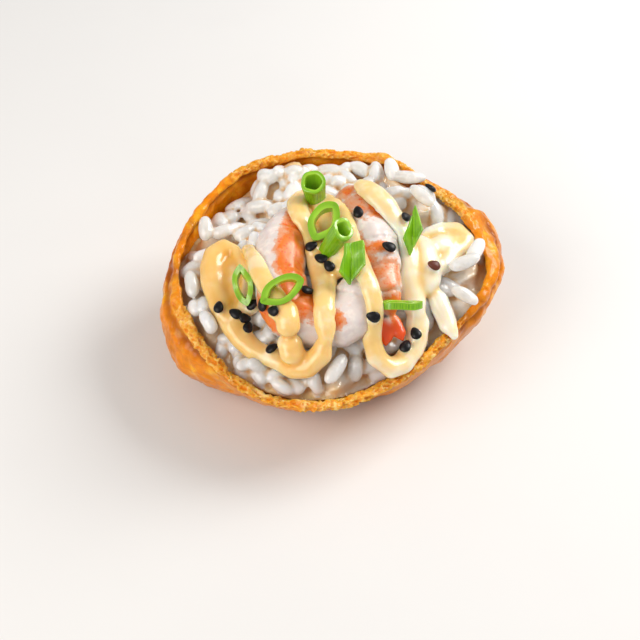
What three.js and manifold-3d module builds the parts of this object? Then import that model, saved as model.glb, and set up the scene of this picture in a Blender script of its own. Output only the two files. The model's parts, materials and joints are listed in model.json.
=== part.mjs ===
// Open-topped inari sushi: a fried tofu pouch filled with rice, two curled prawns on top,
// a zigzag of piped mayonnaise sauce, spring onion slices and black sesame seeds.
// Millimetres, +Z up. The pouch rests on Z = 0 and the whole is centred over the origin.
// +X runs along the pouch, and -Y is the low side of its slanting mouth.

import * as THREE from "three";
import { LoftGeometry } from "three/addons/geometries/LoftGeometry.js";
import { ImprovedNoise } from "three/addons/math/ImprovedNoise.js";
import { mergeVertices } from "three/addons/utils/BufferGeometryUtils.js";
import Module from "manifold-3d";

const wasm = await Module();
wasm.setup();

const TURN = Math.PI * 2;
const GAP = 0.35; // clear space between pieces that rest on each other

// ---- Driving dimensions of the pouch ----

// The wall at equal steps round the mouth, from +X anticlockwise: the radius of the torn edge,
// how far the wall's belly is pulled out beyond it, and at which share of the height.
const WALL = [
  [38, 5, 0.95],
  [36.5, 15, 1],
  [34, 11, 1],
  [35, 4, 0.7],
  [34.5, 3, 0.6],
  [35.5, 1.5, 0.6],
  [37.5, 1.5, 0.6],
  [38.5, 2.5, 0.7],
  [39, 7, 0.8],
  [38, 9.5, 0.6],
  [37.5, -2, 0.5],
  [37, -6.5, 0.5],
  [35, -8, 0.5],
  [31.5, -7, 0.5],
  [31, -3, 0.6],
  [33, 0, 0.7],
];
const MOUTH_HEIGHT = 25; // mean height of the mouth
const MOUTH_SLANT = 7.8; // how far the far side (+Y) stands above it and the near side below
const MOUTH_RIPPLE = 0.4; // small rise and fall along the torn edge
const SKIN = 2.5; // thickness of the fried skin
const FOOT_RADIUS = 21; // flat spot that the pouch rests on
const FOOT_SHIFT = 2.5; // the flat spot sits this far towards FOOT_SIDE
const FOOT_SIDE = 140; // degrees
const WRINKLE = 0.7; // height of the skin's creases
const FRAY = 0.35; // roughness of the torn edge
const RIM_ROUNDING = 0.9; // how far the torn edge rises above the skin's two sides
const AROUND = 52; // corners round the pouch
const WALL_STEPS = 8; // rings up each side of the skin

// ---- Driving dimensions of the filling ----

const FILL_DEPTH = 1.9; // the rice meets the skin this far below the mouth
const HEAP_HEIGHT = 7.4; // rise of the rice in the middle
const MOUND = { x: 21, y: 20, height: 5.2, width: 7.5 }; // rice piled against the far right side
// Where the rice meets the skin lower: direction and reach in degrees, depth.
const DIPS = [
  [145, 45, 3.6],
  [26, 18, 3],
];
const GRAIN = { length: 6.4, width: 3.5, height: 3.1 };
const GRAIN_COUNT = 84; // places for grains over the whole heap; the toppings cover some
const SEGMENTS = 6; // a prawn's body segments
const STRAND_STEP = 3.6; // distance between the cross-sections of a strand of sauce
const STRAND_FLATNESS = 0.8; // height of a strand as a share of its width
const STRAND_SINK = 0.22; // share of a strand's width that sags onto what it lies on
const SEED = { length: 3.5, width: 2.4, height: 1.3 };

// ---- Shared helpers ----

const noise = new ImprovedNoise();
const rad = THREE.MathUtils.degToRad;
const lerp = THREE.MathUtils.lerp;
const vector = (x, y, z) => new THREE.Vector3(x, y, z);
const polar = (r, a, z) => vector(r * Math.cos(a), r * Math.sin(a), z);
const steps = (n) => Array.from({ length: n }, (_, i) => i / (n - 1));
const corners = (n) => Array.from({ length: n }, (_, i) => (i / n) * TURN);
const union = (...bodies) => wasm.Manifold.union(bodies.flat());

/** A bump of height 1 at `centre` degrees that fades to 0 over `width` degrees each way. */
function lobe(angle, centre, width) {
  const off = (((THREE.MathUtils.radToDeg(angle) - centre) % 360) + 540) % 360;
  return 0.5 + 0.5 * Math.cos(Math.PI * Math.min(Math.abs(off - 180) / width, 1));
}

/** Repeatable spread numbers between -0.5 and 0.5. */
function scatter(i, salt) {
  const wave = Math.sin(i * 127.1 + salt * 311.7) * 43758.5453;
  return wave - Math.floor(wave) - 0.5;
}

/** A closed geometry as a manifold-3d solid. */
function solid(geometry) {
  const bare = new THREE.BufferGeometry();
  bare.setAttribute("position", geometry.getAttribute("position"));
  bare.setIndex(geometry.index);
  const merged = mergeVertices(bare, 1e-4);
  return new wasm.Manifold(
    new wasm.Mesh({
      numProp: 3,
      vertProperties: merged.attributes.position.array,
      triVerts: new Uint32Array(merged.index.array),
    }),
  );
}

/** A solid skinned over rings of points, with both ends closed. */
function loft(sections) {
  return solid(new LoftGeometry(sections, { capStart: true, capEnd: true }));
}

/** The largest separate body of a solid, without loose scraps or sealed pockets. */
function largest(body) {
  return body.decompose().sort((a, b) => b.volume() - a.volume())[0];
}

/** A manifold-3d solid as a three.js mesh. */
function piece(name, body, color = 0xffffff, roughness = 0.5) {
  const { numProp, numVert, vertProperties, triVerts } = body.getMesh();
  const places = new Float32Array(numVert * 3);
  for (let i = 0; i < numVert; i++) {
    places.set(vertProperties.subarray(i * numProp, i * numProp + 3), i * 3);
  }
  const geometry = new THREE.BufferGeometry();
  geometry.setAttribute("position", new THREE.BufferAttribute(places, 3));
  geometry.setIndex(new THREE.BufferAttribute(triVerts, 1));
  geometry.computeVertexNormals();
  const mesh = new THREE.Mesh(
    geometry,
    new THREE.MeshStandardMaterial({ color, roughness, metalness: 0 }),
  );
  mesh.name = name;
  return mesh;
}

/** What a plumb line through (x, y) meets, the highest first. */
function lookDown(x, y, meshes) {
  return new THREE.Raycaster(vector(x, y, 90), vector(0, 0, -1)).intersectObjects(meshes);
}

/** An oval ring of points round `centre`, square to `ahead` and level from side to side. */
function ovalRing(centre, ahead, width, height, count) {
  const side = vector(-ahead.y, ahead.x, 0).normalize();
  const top = vector(0, 0, 0).crossVectors(ahead, side).normalize();
  return corners(count).map((a) =>
    centre
      .clone()
      .addScaledVector(side, 0.5 * width * Math.cos(a))
      .addScaledVector(top, 0.5 * height * Math.sin(a)),
  );
}

/** An egg-shaped body, laid along X before it is rolled, tilted, turned and moved. */
function makeEgg({ length, width, height }, at, turn, tilt = 0, roll = 0) {
  const egg = new THREE.SphereGeometry(0.5, 6, 3).rotateZ(Math.PI / 2);
  egg.scale(length, width, height).rotateX(roll).rotateY(-tilt).rotateZ(turn);
  return solid(egg.translate(...at));
}

// ---- Pouch ----

const wallStations = new THREE.CatmullRomCurve3(
  WALL.map(([radius, belly, share]) => vector(radius, belly, share)),
  true,
  "catmullrom",
);

/** The wall's numbers at one angle: x is the mouth's radius, y the belly, z the belly's share. */
const wallAt = (angle) => wallStations.getPoint(angle / TURN);

function mouthHeight(angle) {
  const ripple = Math.sin(3 * angle + 1) + 0.7 * Math.sin(7 * angle) + 0.4 * Math.sin(11 * angle + 2);
  return MOUTH_HEIGHT + MOUTH_SLANT * Math.sin(angle) + MOUTH_RIPPLE * ripple;
}

/** Side view of the wall at one angle, as (radius, height) points `inset` inside the outer face. */
function wallCurve(angle, inset) {
  const wall = wallAt(angle);
  const foot = FOOT_RADIUS + FOOT_SHIFT * Math.cos(angle - rad(FOOT_SIDE)) - 0.5 * inset;
  const mouth = wall.x - inset;
  const top = mouthHeight(angle);
  const fullness = THREE.MathUtils.clamp(THREE.MathUtils.mapLinear(wall.y, -9, 8, 0.2, 1), 0, 1);
  return new THREE.CubicBezierCurve(
    new THREE.Vector2(foot, inset),
    new THREE.Vector2(lerp(foot, mouth, fullness), inset),
    new THREE.Vector2(mouth + wall.y, lerp(inset, top, wall.z)),
    new THREE.Vector2(mouth, top),
  );
}

/** One ring of the wall, `inset` inside its outer face and at the share `t` of the way up. */
function wallRing(t, inset, relief = () => 0) {
  return corners(AROUND).map((a) => {
    const p = wallCurve(a, inset).getPoint(t);
    return polar(p.x + relief(a, p.y), a, p.y);
  });
}

/** Creases in the skin: long soft folds, finer puckers, and the pouch's two folded end seams. */
function creases(angle, height) {
  const x = 3.2 * Math.cos(angle);
  const y = 3.2 * Math.sin(angle);
  const folds = noise.noise(1.3 * x, 1.3 * y, 0.05 * height + 3);
  const puckers = noise.noise(4 * x, 4 * y, 0.16 * height);
  const seams = lobe(angle, 192, 7) + lobe(angle, 8, 7);
  return WRINKLE * (1.5 * folds + 0.9 * puckers + 0.9 * seams);
}

/** The torn edge at the share `turn` of the way over from the outer face to the inner one. */
function tornRing(turn, clearance) {
  return corners(AROUND).map((a, i) => {
    const fray = FRAY * (Math.sin(i * 2.4 + turn * 9) + Math.sin(i * 5.1));
    const rise = (RIM_ROUNDING + clearance) * Math.sin(Math.PI * turn);
    const r = wallAt(a).x + clearance - (SKIN + 2 * clearance) * turn;
    return polar(r, a, mouthHeight(a) + rise + fray);
  });
}

/** The tofu pouch; `clearance` swells its walls on both sides. */
function makePouch(clearance = 0) {
  const sections = steps(WALL_STEPS + 1).map((t) => {
    const depth = Math.sin(Math.PI * Math.min(t * 1.25, 1)) ** 0.7;
    const share = t > 0.8 ? 0.4 : 1;
    return wallRing(t, -clearance, (a, z) => share * depth * creases(a, z));
  });
  sections.push(tornRing(0.3, clearance), tornRing(0.7, clearance));
  for (const t of steps(WALL_STEPS).reverse()) sections.push(wallRing(t, SKIN + clearance));
  const crown = SKIN + clearance + 0.05; // the floor inside rises a little to its middle
  sections.push(corners(AROUND).map((a) => polar(1, a, crown)));
  return loft(sections);
}

// ---- Rice ----

/** Everything inside the pouch and above its mouth, clear of the skin. */
function makeWell() {
  const inset = SKIN + 2 * GAP;
  const brim = RIM_ROUNDING + 2 * FRAY + GAP;
  const sections = steps(WALL_STEPS).map((t) => wallRing(t, inset));
  for (const [spread, rise] of [
    [0, brim],
    [inset + 2, brim + 0.3],
    [inset + 6, 25],
  ]) {
    const ring = (a) => polar(wallAt(a).x - inset + spread, a, mouthHeight(a) + rise);
    sections.push(corners(AROUND).map(ring));
  }
  return loft(sections);
}

/** Height of the rice heap's smooth top over a point. */
function heapTop(x, y) {
  const angle = Math.atan2(y, x);
  const share = Math.min(Math.hypot(x, y) / (wallAt(angle).x - SKIN), 1);
  const rise = Math.cos(0.5 * Math.PI * share) ** 1.1;
  const dip = Math.max(...DIPS.map(([side, reach, depth]) => depth * lobe(angle, side, reach)));
  const edge = mouthHeight(angle) - FILL_DEPTH - dip;
  const off = ((x - MOUND.x) ** 2 + (y - MOUND.y) ** 2) / MOUND.width ** 2;
  return lerp(edge, MOUTH_HEIGHT - FILL_DEPTH + HEAP_HEIGHT, rise) + MOUND.height * Math.exp(-off);
}

/** A column with the heap's top; `clearance` raises it. */
function makeDome(clearance = 0) {
  const ring = (r) =>
    corners(40).map((a) => polar(r, a, heapTop(r * Math.cos(a), r * Math.sin(a)) + clearance));
  const foot = corners(40).map((a) => polar(44, a, -5));
  return loft([foot, ...[44, 34, 28.5, 22.5, 16.5, 10, 4, 0.5].map(ring)]);
}

// Grains that stand out, each [x, y, height over the heap, turn, tilt, length]; angles in degrees.
const SHOWN_GRAINS = [
  [-31.3, 11, 1.6, 95, 25, 5],
  [-33.2, 5, 1.6, 30, 10, 5.5],
  [-33.6, -3.4, 1.6, 100, 15, 6],
  [-31, -9.6, 1.6, 30, 10, 6],
  [-29.2, -14.8, 1.4, 120, 10, 6],
  [-18.5, 26, 0.2, 125, 10, 5],
  [-14.5, 27.2, 0.2, 120, 10, 6.5],
  [6, 29, 0.1, 150, 8, 5.5],
  [17.6, 23.5, 1.6, -9, 5, 8],
  [13.5, 26, 1.2, 100, 10, 6],
  [20.5, 16, 1.4, -53, 5, 8.5],
  [33.2, 3.5, 1.8, 60, 15, 6],
  [30.4, 0, 1.8, 20, 10, 6.5],
  [33.5, -4, 1.4, 70, 15, 5.5],
  [30.4, -7, 1.6, 150, 10, 6.5],
  [-20, -24, 1.3, 10, 10, 6.5],
  [-12, -29, 1.2, 170, 8, 6.5],
  [0.5, -27, 1.4, 62, 10, 8],
  [6.5, -29, 1.3, 20, 8, 6.5],
  [17.5, -20.5, 1.2, 10, 8, 7],
];

/** The grains of rice on the heap; `covered` tells whether a place lies under the toppings. */
function makeGrains(covered) {
  const grains = SHOWN_GRAINS.map(([x, y, over, turn, tilt, length], i) =>
    makeEgg({ ...GRAIN, length }, [x, y, heapTop(x, y) + over], rad(turn), rad(tilt), scatter(i, 9)),
  );
  const goldenAngle = TURN * 0.381966;
  for (let i = 0; i < GRAIN_COUNT; i++) {
    const angle = i * goldenAngle + 0.3 * scatter(i, 1);
    const reach = wallAt(angle).x - SKIN - 2.2;
    const r = reach * Math.sqrt((i + 0.5) / GRAIN_COUNT) + 1.2 * scatter(i, 2);
    const [x, y] = [r * Math.cos(angle), r * Math.sin(angle)];
    if (covered(x, y)) continue;
    const size = { ...GRAIN, length: GRAIN.length * (1 + 0.3 * scatter(i, 3)) };
    const z = heapTop(x, y) + 0.4 + scatter(i, 4);
    grains.push(makeEgg(size, [x, y, z], TURN * scatter(i, 5), 0.7 * scatter(i, 6), scatter(i, 7)));
  }
  return union(grains);
}

// ---- Prawns ----

// Each station along a prawn's curled body is [x, y, z, width, height], from the tail's end.
const PRAWN_LEFT = [
  [-9.5, 16.5, 30.5, 6.5, 6],
  [-12, 8, 31, 10, 9],
  [-13, -1.5, 31.5, 12, 10.5],
  [-12.5, -9.5, 30, 12, 10.5],
  [-10.2, -15.3, 28, 12.5, 10.5],
  [-3, -17.5, 27, 12, 10.5],
  [3, -15.5, 28, 13, 11],
  [5.4, -10.5, 30, 12.5, 10.5],
  [3.4, -5, 31, 10.5, 9],
];
const PRAWN_RIGHT = [
  [13, -14, 26.5, 6.5, 6.5],
  [11.5, -9, 29.5, 8, 8],
  [10, -2, 31, 10.5, 9],
  [8, 6.5, 32, 11.5, 9.5],
  [5, 15, 32, 11, 9.5],
  [1.5, 21, 31, 8, 7.5],
];
// The lobes of the right prawn's tail fan, each [x, y, z, turn in degrees].
const TAIL_LOBES = [
  [14.3, -16.5, 25.2, -65],
  [12.3, -17.4, 25, -100],
  [10.2, -17.2, 25.2, -140],
];
const TAIL_LOBE = { length: 8, width: 3.8, height: 2 };

/** A peeled, cooked prawn: an oval body along a curve, each segment lapping over the next. */
function makePrawn(stations, clearance = 0) {
  const line = new THREE.CatmullRomCurve3(stations.map(([x, y, z]) => vector(x, y, z)));
  const girth = new THREE.SplineCurve(stations.map((s) => new THREE.Vector2(s[3], s[4])));
  return loft(
    steps(17).map((t) => {
      const end = Math.sqrt(Math.max(0.04, 1 - (2 * t - 1) ** 8)); // rounds both ends
      const size = end * (1 + 0.07 * (1 - ((t * SEGMENTS) % 1)));
      const { x: width, y: height } = girth.getPoint(t);
      const swell = 2 * clearance;
      return ovalRing(line.getPoint(t), line.getTangent(t), width * size + swell, height * size + swell, 12);
    }),
  );
}

function makeTailFan(clearance = 0) {
  const swell = 2 * clearance;
  const size = {
    length: TAIL_LOBE.length + swell,
    width: TAIL_LOBE.width + swell,
    height: TAIL_LOBE.height + swell,
  };
  return union(TAIL_LOBES.map(([x, y, z, turn]) => makeEgg(size, [x, y, z], rad(turn), rad(-20))));
}

// ---- Sauce ----

// The strands of piped sauce as seen from above, each point [x, y, width].
const STRANDS = [
  // The left loop, its run along the front and the first turn at the front.
  [
    [-23, 5, 4], [-27.5, 6, 5.2], [-29.2, 1.5, 5.6], [-28.2, -5.5, 5.6], [-23.8, -14.5, 6],
    [-19.3, -20.8, 4.8], [-13, -23.9, 4.8], [-7.3, -27.5, 5.4], [-3, -26, 5], [-1.7, -22.5, 4.8],
  ],
  [
    [-24, 4.5, 4], [-21, 1, 3.8], [-19.7, -5.5, 4.2], [-20.3, -11, 5], [-22.3, -14.5, 5],
  ],
  // The shallow pool in the left loop.
  [[-26, 2.5, 2.6], [-26, -3, 2.8], [-25, -8.5, 2.8]],
  [[-24, 2, 2.6], [-23.6, -4, 2.8], [-23, -10, 2.8]],
  // Over the left prawn, ending in a round drop, with a thin run on each side of it to the front.
  [
    [-21.5, 3, 4], [-19.3, 0.1, 4], [-18.4, -4.3, 4.6], [-16.3, -11, 4.7],
    [-12.6, -17.2, 4.8], [-10.4, -20.6, 5.4], [-9.6, -22.6, 4.8],
  ],
  [[-10.4, -21, 3], [-8.8, -25, 3.8], [-8, -27.3, 4.4]],
  [[-15, -16.4, 2.4], [-14.2, -20, 3], [-13.4, -23.6, 4]],
  [
    [-6, 20, 4], [-9, 15.3, 5], [-8.7, 8.5, 5.6], [-5, 1.5, 6.2],
    [-2.6, -8, 5.8], [-2.3, -20, 5.2], [-1.7, -25.3, 4.4],
  ],
  // The broad band between the prawns, from the top.
  [[-5.3, 19.5, 4.5], [-3.3, 15, 7], [-1, 9, 8.5], [0.8, 2.7, 8], [1.2, -2.5, 7.6], [1.9, -7.6, 6.8]],
  // Over the right prawn, round the second turn at the front and back up.
  [
    [-5.8, 18.8, 4], [-0.5, 13.8, 5], [2.8, 5.5, 5.4], [6, -8, 5], [8.8, -16.8, 4.4], [8.4, -20.5, 4.5],
    [10, -24, 4.9], [13.5, -24.8, 5.2], [17, -21.5, 5.2], [19.3, -15.5, 5.4], [19, -9.5, 5.8],
  ],
  [[19.3, -13.5, 5], [17.3, -5, 6.4], [15.4, 4.4, 6.4], [11.3, 11, 6.4], [7.6, 15, 5.6], [4.9, 18.4, 4.4]],
  [[19.4, -4, 4.6], [18.6, 2.5, 4.8], [17.2, 7.4, 4.8], [13.6, 11.6, 4.2]],
  // The broad sheet on the right with its loop and the drip on the rim.
  [[21, -7.5, 5], [21.5, -3, 7], [21, 1.7, 7.2], [18.7, 9, 4.5]],
  [[20, 7.5, 4.2], [24, 11, 4.6], [28.5, 12.3, 5], [31.6, 9, 4.6], [28, 5.2, 4.4], [23.7, -2, 5.2]],
  [[21, 3, 5], [25.5, 6.5, 6], [29.4, 8.6, 5.4]],
  [[22.4, -5, 4.8], [24.5, -8.2, 4.8], [27, -15, 4.2], [28.2, -17, 3.5]],
];

/**
 * Lays a strand over the ground, taut enough to bridge small dips: points with their widths.
 * Where there is no ground, past the edge, it hangs down.
 */
function drape(points, ground) {
  const flat = new THREE.CatmullRomCurve3(points.map(([x, y, width]) => vector(x, y, width)));
  const line = flat.getSpacedPoints(Math.ceil(flat.getLength() / STRAND_STEP));
  const rest = [];
  line.forEach((p, i) => {
    const [hit] = lookDown(p.x, p.y, ground);
    rest.push(hit ? hit.point.z + STRAND_SINK * p.z : rest[i - 1] - STRAND_STEP);
  });
  let heights = rest;
  for (let round = 0; round < 6; round++) {
    heights = heights.map((h, i) => {
      const before = heights[Math.max(i - 1, 0)];
      const after = heights[Math.min(i + 1, heights.length - 1)];
      return Math.max(0.25 * before + 0.5 * h + 0.25 * after, rest[i] - 0.4);
    });
  }
  return line.map((p, i) => ({ at: vector(p.x, p.y, heights[i]), width: p.z }));
}

/** One strand with round ends, flatter than it is wide. */
function makeStrand(line, clearance) {
  const last = line.length - 1;
  return loft(
    line.map(({ at, width }, i) => {
      const ahead = line[Math.min(i + 1, last)].at.clone().sub(line[Math.max(i - 1, 0)].at);
      const fromEnd = Math.min((Math.min(i, last - i) * STRAND_STEP) / (0.5 * width) + 0.1, 1);
      const size = width * Math.sqrt(1 - (1 - fromEnd) ** 2);
      const swell = 2 * clearance;
      return ovalRing(at, ahead.normalize(), size + swell, size * STRAND_FLATNESS + swell, 8);
    }),
  );
}

// ---- Spring onion ----

/** An oval ring, cut across or aslant from a hollow stalk. */
function sliceShape({ along, across, wall }) {
  const shape = new THREE.Shape();
  shape.absellipse(0, 0, along / 2, across / 2, 0, TURN, false, 0);
  const hole = new THREE.Path();
  hole.absellipse(0, 0, along / 2 - wall, across / 2 - wall, 0, TURN, true, 0);
  shape.holes.push(hole);
  return shape;
}

// The two flat scraps of leaf.
const LEAF_OUTLINES = [
  [[-1.4, 4.4], [2.6, 5], [2.8, -0.7], [-0.2, -5], [-2.8, -2.6], [-1.6, 1.8]],
  [[0.7, 6], [2.2, -0.3], [-0.6, -6], [-2.2, -2.4], [-1, 0.8]],
];

/** A flat scrap of leaf with a straight-cut outline. */
function leafShape({ outline }) {
  return new THREE.Shape(outline.map(([x, y]) => new THREE.Vector2(x, y)));
}

// Every piece: its flat shape, thickness, place, and turns about X, Y and Z in degrees.
const SCALLIONS = [
  { along: 5.8, across: 5.4, wall: 0.9, thick: 7.4, at: [-5.4, 15, 37.4], turn: [6, -6, 0] },
  { along: 9.8, across: 7, wall: 1.6, thick: 3.2, at: [-2.9, 4.5, 37.7], turn: [34, 0, 62] },
  { along: 5.2, across: 4.6, wall: 0.9, thick: 8, at: [0, -1.3, 37.6], turn: [-13, 30, 0] },
  { outline: LEAF_OUTLINES[0], thick: 1.5, at: [3.7, -8.7, 38.6], turn: [30, 8, 0] },
  { along: 11.4, across: 5.8, wall: 1.3, thick: 2.6, at: [-12, -15.7, 36.9], turn: [38, 0, 30] },
  { along: 9.8, across: 4.6, wall: 1.1, thick: 2.2, at: [-21.3, -9.7, 31.1], turn: [38, 0, -80] },
  { along: 9, across: 4.4, wall: 0.9, thick: 1.6, at: [15.2, -15.8, 32.2], turn: [-38, 0, 3] },
  { outline: LEAF_OUTLINES[1], thick: 1, at: [17.9, 4.2, 35.6], turn: [32, 0, 0] },
];

function makeScallion(cut) {
  const shape = cut.outline ? leafShape(cut) : sliceShape(cut);
  const depth = cut.thick;
  const slice = new THREE.ExtrudeGeometry(shape, { depth, bevelEnabled: false, curveSegments: 6 });
  const [x, y, z] = cut.turn.map(rad);
  slice.translate(0, 0, -depth / 2).rotateZ(z).rotateY(y).rotateX(x);
  return solid(slice.translate(...cut.at));
}

// ---- Sesame seeds ----

// Each seed is [x, y, turn in degrees]; it lies on whatever is under it.
const SEEDS = [
  [5.2, 8.3, 100], [-5.6, -0.8, 20], [-3.4, -4.4, 145], [-1.5, -6.4, 125], [-6.4, -12.9, 5],
  [-16.4, -16, 80], [-26.8, -12.9, 85], [-22.9, -14.6, 150], [-20.8, -15.5, 10], [-18.9, -12.6, 20],
  [-20, -17.6, 75], [-13.8, -20, 155], [-14.1, -22.9, 15], [12.2, -1.8, 160], [16.4, 8, 30],
  [22.9, -2.8, 170], [8.6, -19.6, 165], [16.4, -20.6, 70], [18.7, -17.8, 110], [22.7, 20.5, 145],
];

/** Lays seeds of a given size on the named bodies; gives those that lie on each of them. */
function laySeeds(bodies, { length, width, height }) {
  const meshes = Object.entries(bodies).map(([name, body]) => piece(name, body));
  const seeds = Object.fromEntries(meshes.map(({ name }) => [name, []]));
  for (const [x, y, turn] of SEEDS) {
    const [{ point, face, object }] = lookDown(x, y, meshes);
    const lean = new THREE.Quaternion().setFromUnitVectors(vector(0, 0, 1), face.normal);
    const egg = new THREE.SphereGeometry(0.5, 6, 3).rotateZ(Math.PI / 2);
    egg.scale(length, width, height).rotateZ(rad(turn)).applyQuaternion(lean);
    point.addScaledVector(face.normal, 0.25 * SEED.height);
    seeds[object.name].push(solid(egg.translate(point.x, point.y, point.z)));
  }
  return seeds;
}

// ---- Assembly ----

const pouch = makePouch();
const pouchClear = makePouch(GAP);
const well = makeWell();
const heap = makeDome().intersect(well).simplify(0.2);
const heapClear = makeDome(GAP);

const rightClear = union(makePrawn(PRAWN_RIGHT, GAP), makeTailFan(GAP));
const prawnsClear = union(rightClear, makePrawn(PRAWN_LEFT, GAP));
const prawnRight = largest(union(makePrawn(PRAWN_RIGHT), makeTailFan()).subtract(heapClear));
const prawnLeft = largest(makePrawn(PRAWN_LEFT).subtract(union(heapClear, rightClear)));

const ground = [pouch, heap, prawnLeft, prawnRight].map((body) => piece("ground", body));
const strands = STRANDS.map((points) => drape(points, ground));
const makeSauce = (clearance) => union(strands.map((line) => makeStrand(line, clearance)));
const sauce = largest(makeSauce(0).subtract(union(heapClear, prawnsClear, pouchClear))).simplify(0.2);

const toppingsClear = union(makeSauce(GAP), prawnsClear);
const covering = [piece("covering", toppingsClear)];
const covered = (x, y) => lookDown(x, y, covering).length > 0;
const grains = makeGrains(covered).intersect(well).subtract(toppingsClear);
const rice = largest(heap.add(grains).simplify(0.18));

const bodies = { pouch, rice, prawn_left: prawnLeft, prawn_right: prawnRight, mayo: sauce };
const seeds = laySeeds(bodies, SEED);
const swollen = { length: SEED.length + 2 * GAP, width: SEED.width + 2 * GAP, height: SEED.height + 2 * GAP };
const seedsClear = union(Object.values(laySeeds(bodies, swollen)).flat());
const underOnion = union(toppingsClear, seedsClear);
const scallions = SCALLIONS.map((cut) => largest(makeScallion(cut).subtract(underOnion)));

const FINISHES = {
  pouch: [0xd98c2b, 0.5],
  rice: [0xe8e4dc, 0.35],
  prawn_left: [0xf0a080, 0.35],
  prawn_right: [0xf0a080, 0.35],
  mayo: [0xf6e3a4, 0.3],
};

const inari = new THREE.Group();
for (const [name, body] of Object.entries(bodies)) {
  inari.add(piece(name, largest(union(body, seeds[name])), ...FINISHES[name]));
}
scallions.forEach((body, i) => inari.add(piece(`scallion_${i + 1}`, body, 0x6fae2e, 0.4)));

const box = new THREE.Box3().setFromObject(inari);
const middle = box.getCenter(vector(0, 0, 0));
inari.position.set(-middle.x, -middle.y, -box.min.z);

export default inari;
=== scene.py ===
"""Open-topped inari sushi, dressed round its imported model.

A fried tofu pouch full of rice, with two curled prawns, zigzag mayonnaise, spring onion and black sesame.
Scene lengths are in metres. Named sizes and places that end in _MM are in millimetres, in the part's own
frame: +Z up, the pouch on Z = 0, and -Y towards the low side of its slanting mouth.
"""

import json
import math
import random

import bpy
import numpy as np
from bpy.props import FloatProperty, FloatVectorProperty, IntProperty, PointerProperty
from bpy.types import Operator, Panel, PropertyGroup
from mathutils import Euler, Matrix, Vector, noise
from mathutils.bvhtree import BVHTree

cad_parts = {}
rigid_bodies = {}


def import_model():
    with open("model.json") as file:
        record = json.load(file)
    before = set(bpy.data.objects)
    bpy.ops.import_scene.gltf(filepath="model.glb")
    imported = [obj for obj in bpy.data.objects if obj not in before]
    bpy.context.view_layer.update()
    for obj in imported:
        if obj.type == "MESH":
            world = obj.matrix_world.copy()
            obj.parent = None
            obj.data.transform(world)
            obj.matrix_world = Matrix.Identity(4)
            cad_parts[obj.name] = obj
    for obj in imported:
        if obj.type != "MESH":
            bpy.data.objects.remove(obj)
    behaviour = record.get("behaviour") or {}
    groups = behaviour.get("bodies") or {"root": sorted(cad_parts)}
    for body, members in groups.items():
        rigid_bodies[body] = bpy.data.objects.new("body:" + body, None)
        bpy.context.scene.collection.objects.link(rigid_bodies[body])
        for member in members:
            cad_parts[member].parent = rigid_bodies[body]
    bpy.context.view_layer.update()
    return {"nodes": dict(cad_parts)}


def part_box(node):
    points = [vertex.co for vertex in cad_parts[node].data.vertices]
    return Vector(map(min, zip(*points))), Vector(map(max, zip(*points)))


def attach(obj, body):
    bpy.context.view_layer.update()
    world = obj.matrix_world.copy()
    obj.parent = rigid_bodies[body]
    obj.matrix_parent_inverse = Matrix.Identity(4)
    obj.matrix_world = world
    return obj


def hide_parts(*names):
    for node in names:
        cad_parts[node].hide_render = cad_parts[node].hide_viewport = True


bl_info = {
    "name": "Inari Sushi",
    "version": (1, 0, 0),
    "blender": (4, 5, 0),
    "location": "View3D > Sidebar > Inari",
    "description": "Models a filled tofu pouch with its toppings round a packed frame",
    "category": "Add Mesh",
}

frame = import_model()

MM = 0.001
SEED = 7

# ---- Places in the part's frame ----

# The prawns, the seeds and the grains that stand out are placed as they were before the part was centred,
# which moved them this far.
SHIFT_MM = (0.34, 0.15)

# The middle line of each prawn's body, from the tail's end: x, y and z.
PRAWN_LEFT_MM = [
    (-9.5, 16.5, 30.5),
    (-12, 8, 31),
    (-13, -1.5, 31.5),
    (-12.5, -9.5, 30),
    (-10.2, -15.3, 28),
    (-3, -17.5, 27),
    (3, -15.5, 28),
    (5.4, -10.5, 30),
    (3.4, -5, 31),
]
PRAWN_RIGHT_MM = [
    (13, -14, 26.5),
    (11.5, -9, 29.5),
    (10, -2, 31),
    (8, 6.5, 32),
    (5, 15, 32),
    (1.5, 21, 31),
]

# Sesame seeds as seen from above: x, y and turn in degrees.
SEEDS_MM = [
    (5.2, 8.3, 100),
    (-5.6, -0.8, 20),
    (-3.4, -4.4, 145),
    (-1.5, -6.4, 125),
    (-6.4, -12.9, 5),
    (-16.4, -16, 80),
    (-26.8, -12.9, 85),
    (-22.9, -14.6, 150),
    (-20.8, -15.5, 10),
    (-18.9, -12.6, 20),
    (-20, -17.6, 75),
    (-13.8, -20, 155),
    (-14.1, -22.9, 15),
    (12.2, -1.8, 160),
    (16.4, 8, 30),
    (22.9, -2.8, 170),
    (8.6, -19.6, 165),
    (16.4, -20.6, 70),
    (18.7, -17.8, 110),
    (22.7, 20.5, 145),
]
BROWN_SEED = 15  # the row of the only brown one
OVER_ALL_MM = 80  # a height from which everything lies below

# ---- Helpers for meshes ----


def only(piece):
    """Selects one object alone and makes it active."""
    bpy.ops.object.select_all(action="DESELECT")
    piece.hide_set(False)
    piece.select_set(True)
    bpy.context.view_layer.objects.active = piece


def select_vertices(piece, chosen):
    """Goes into edit mode with only the chosen vertices of a piece selected."""
    only(piece)
    bpy.ops.object.mode_set(mode="EDIT")
    bpy.ops.mesh.select_mode(type="VERT")
    bpy.ops.mesh.select_all(action="DESELECT")
    bpy.ops.object.mode_set(mode="OBJECT")
    piece.data.vertices.foreach_set("select", chosen)
    bpy.ops.object.mode_set(mode="EDIT")


def join_to(piece, others):
    """Makes other objects part of a piece."""
    only(piece)
    for other in others:
        other.select_set(True)
    bpy.ops.object.join()


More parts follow.
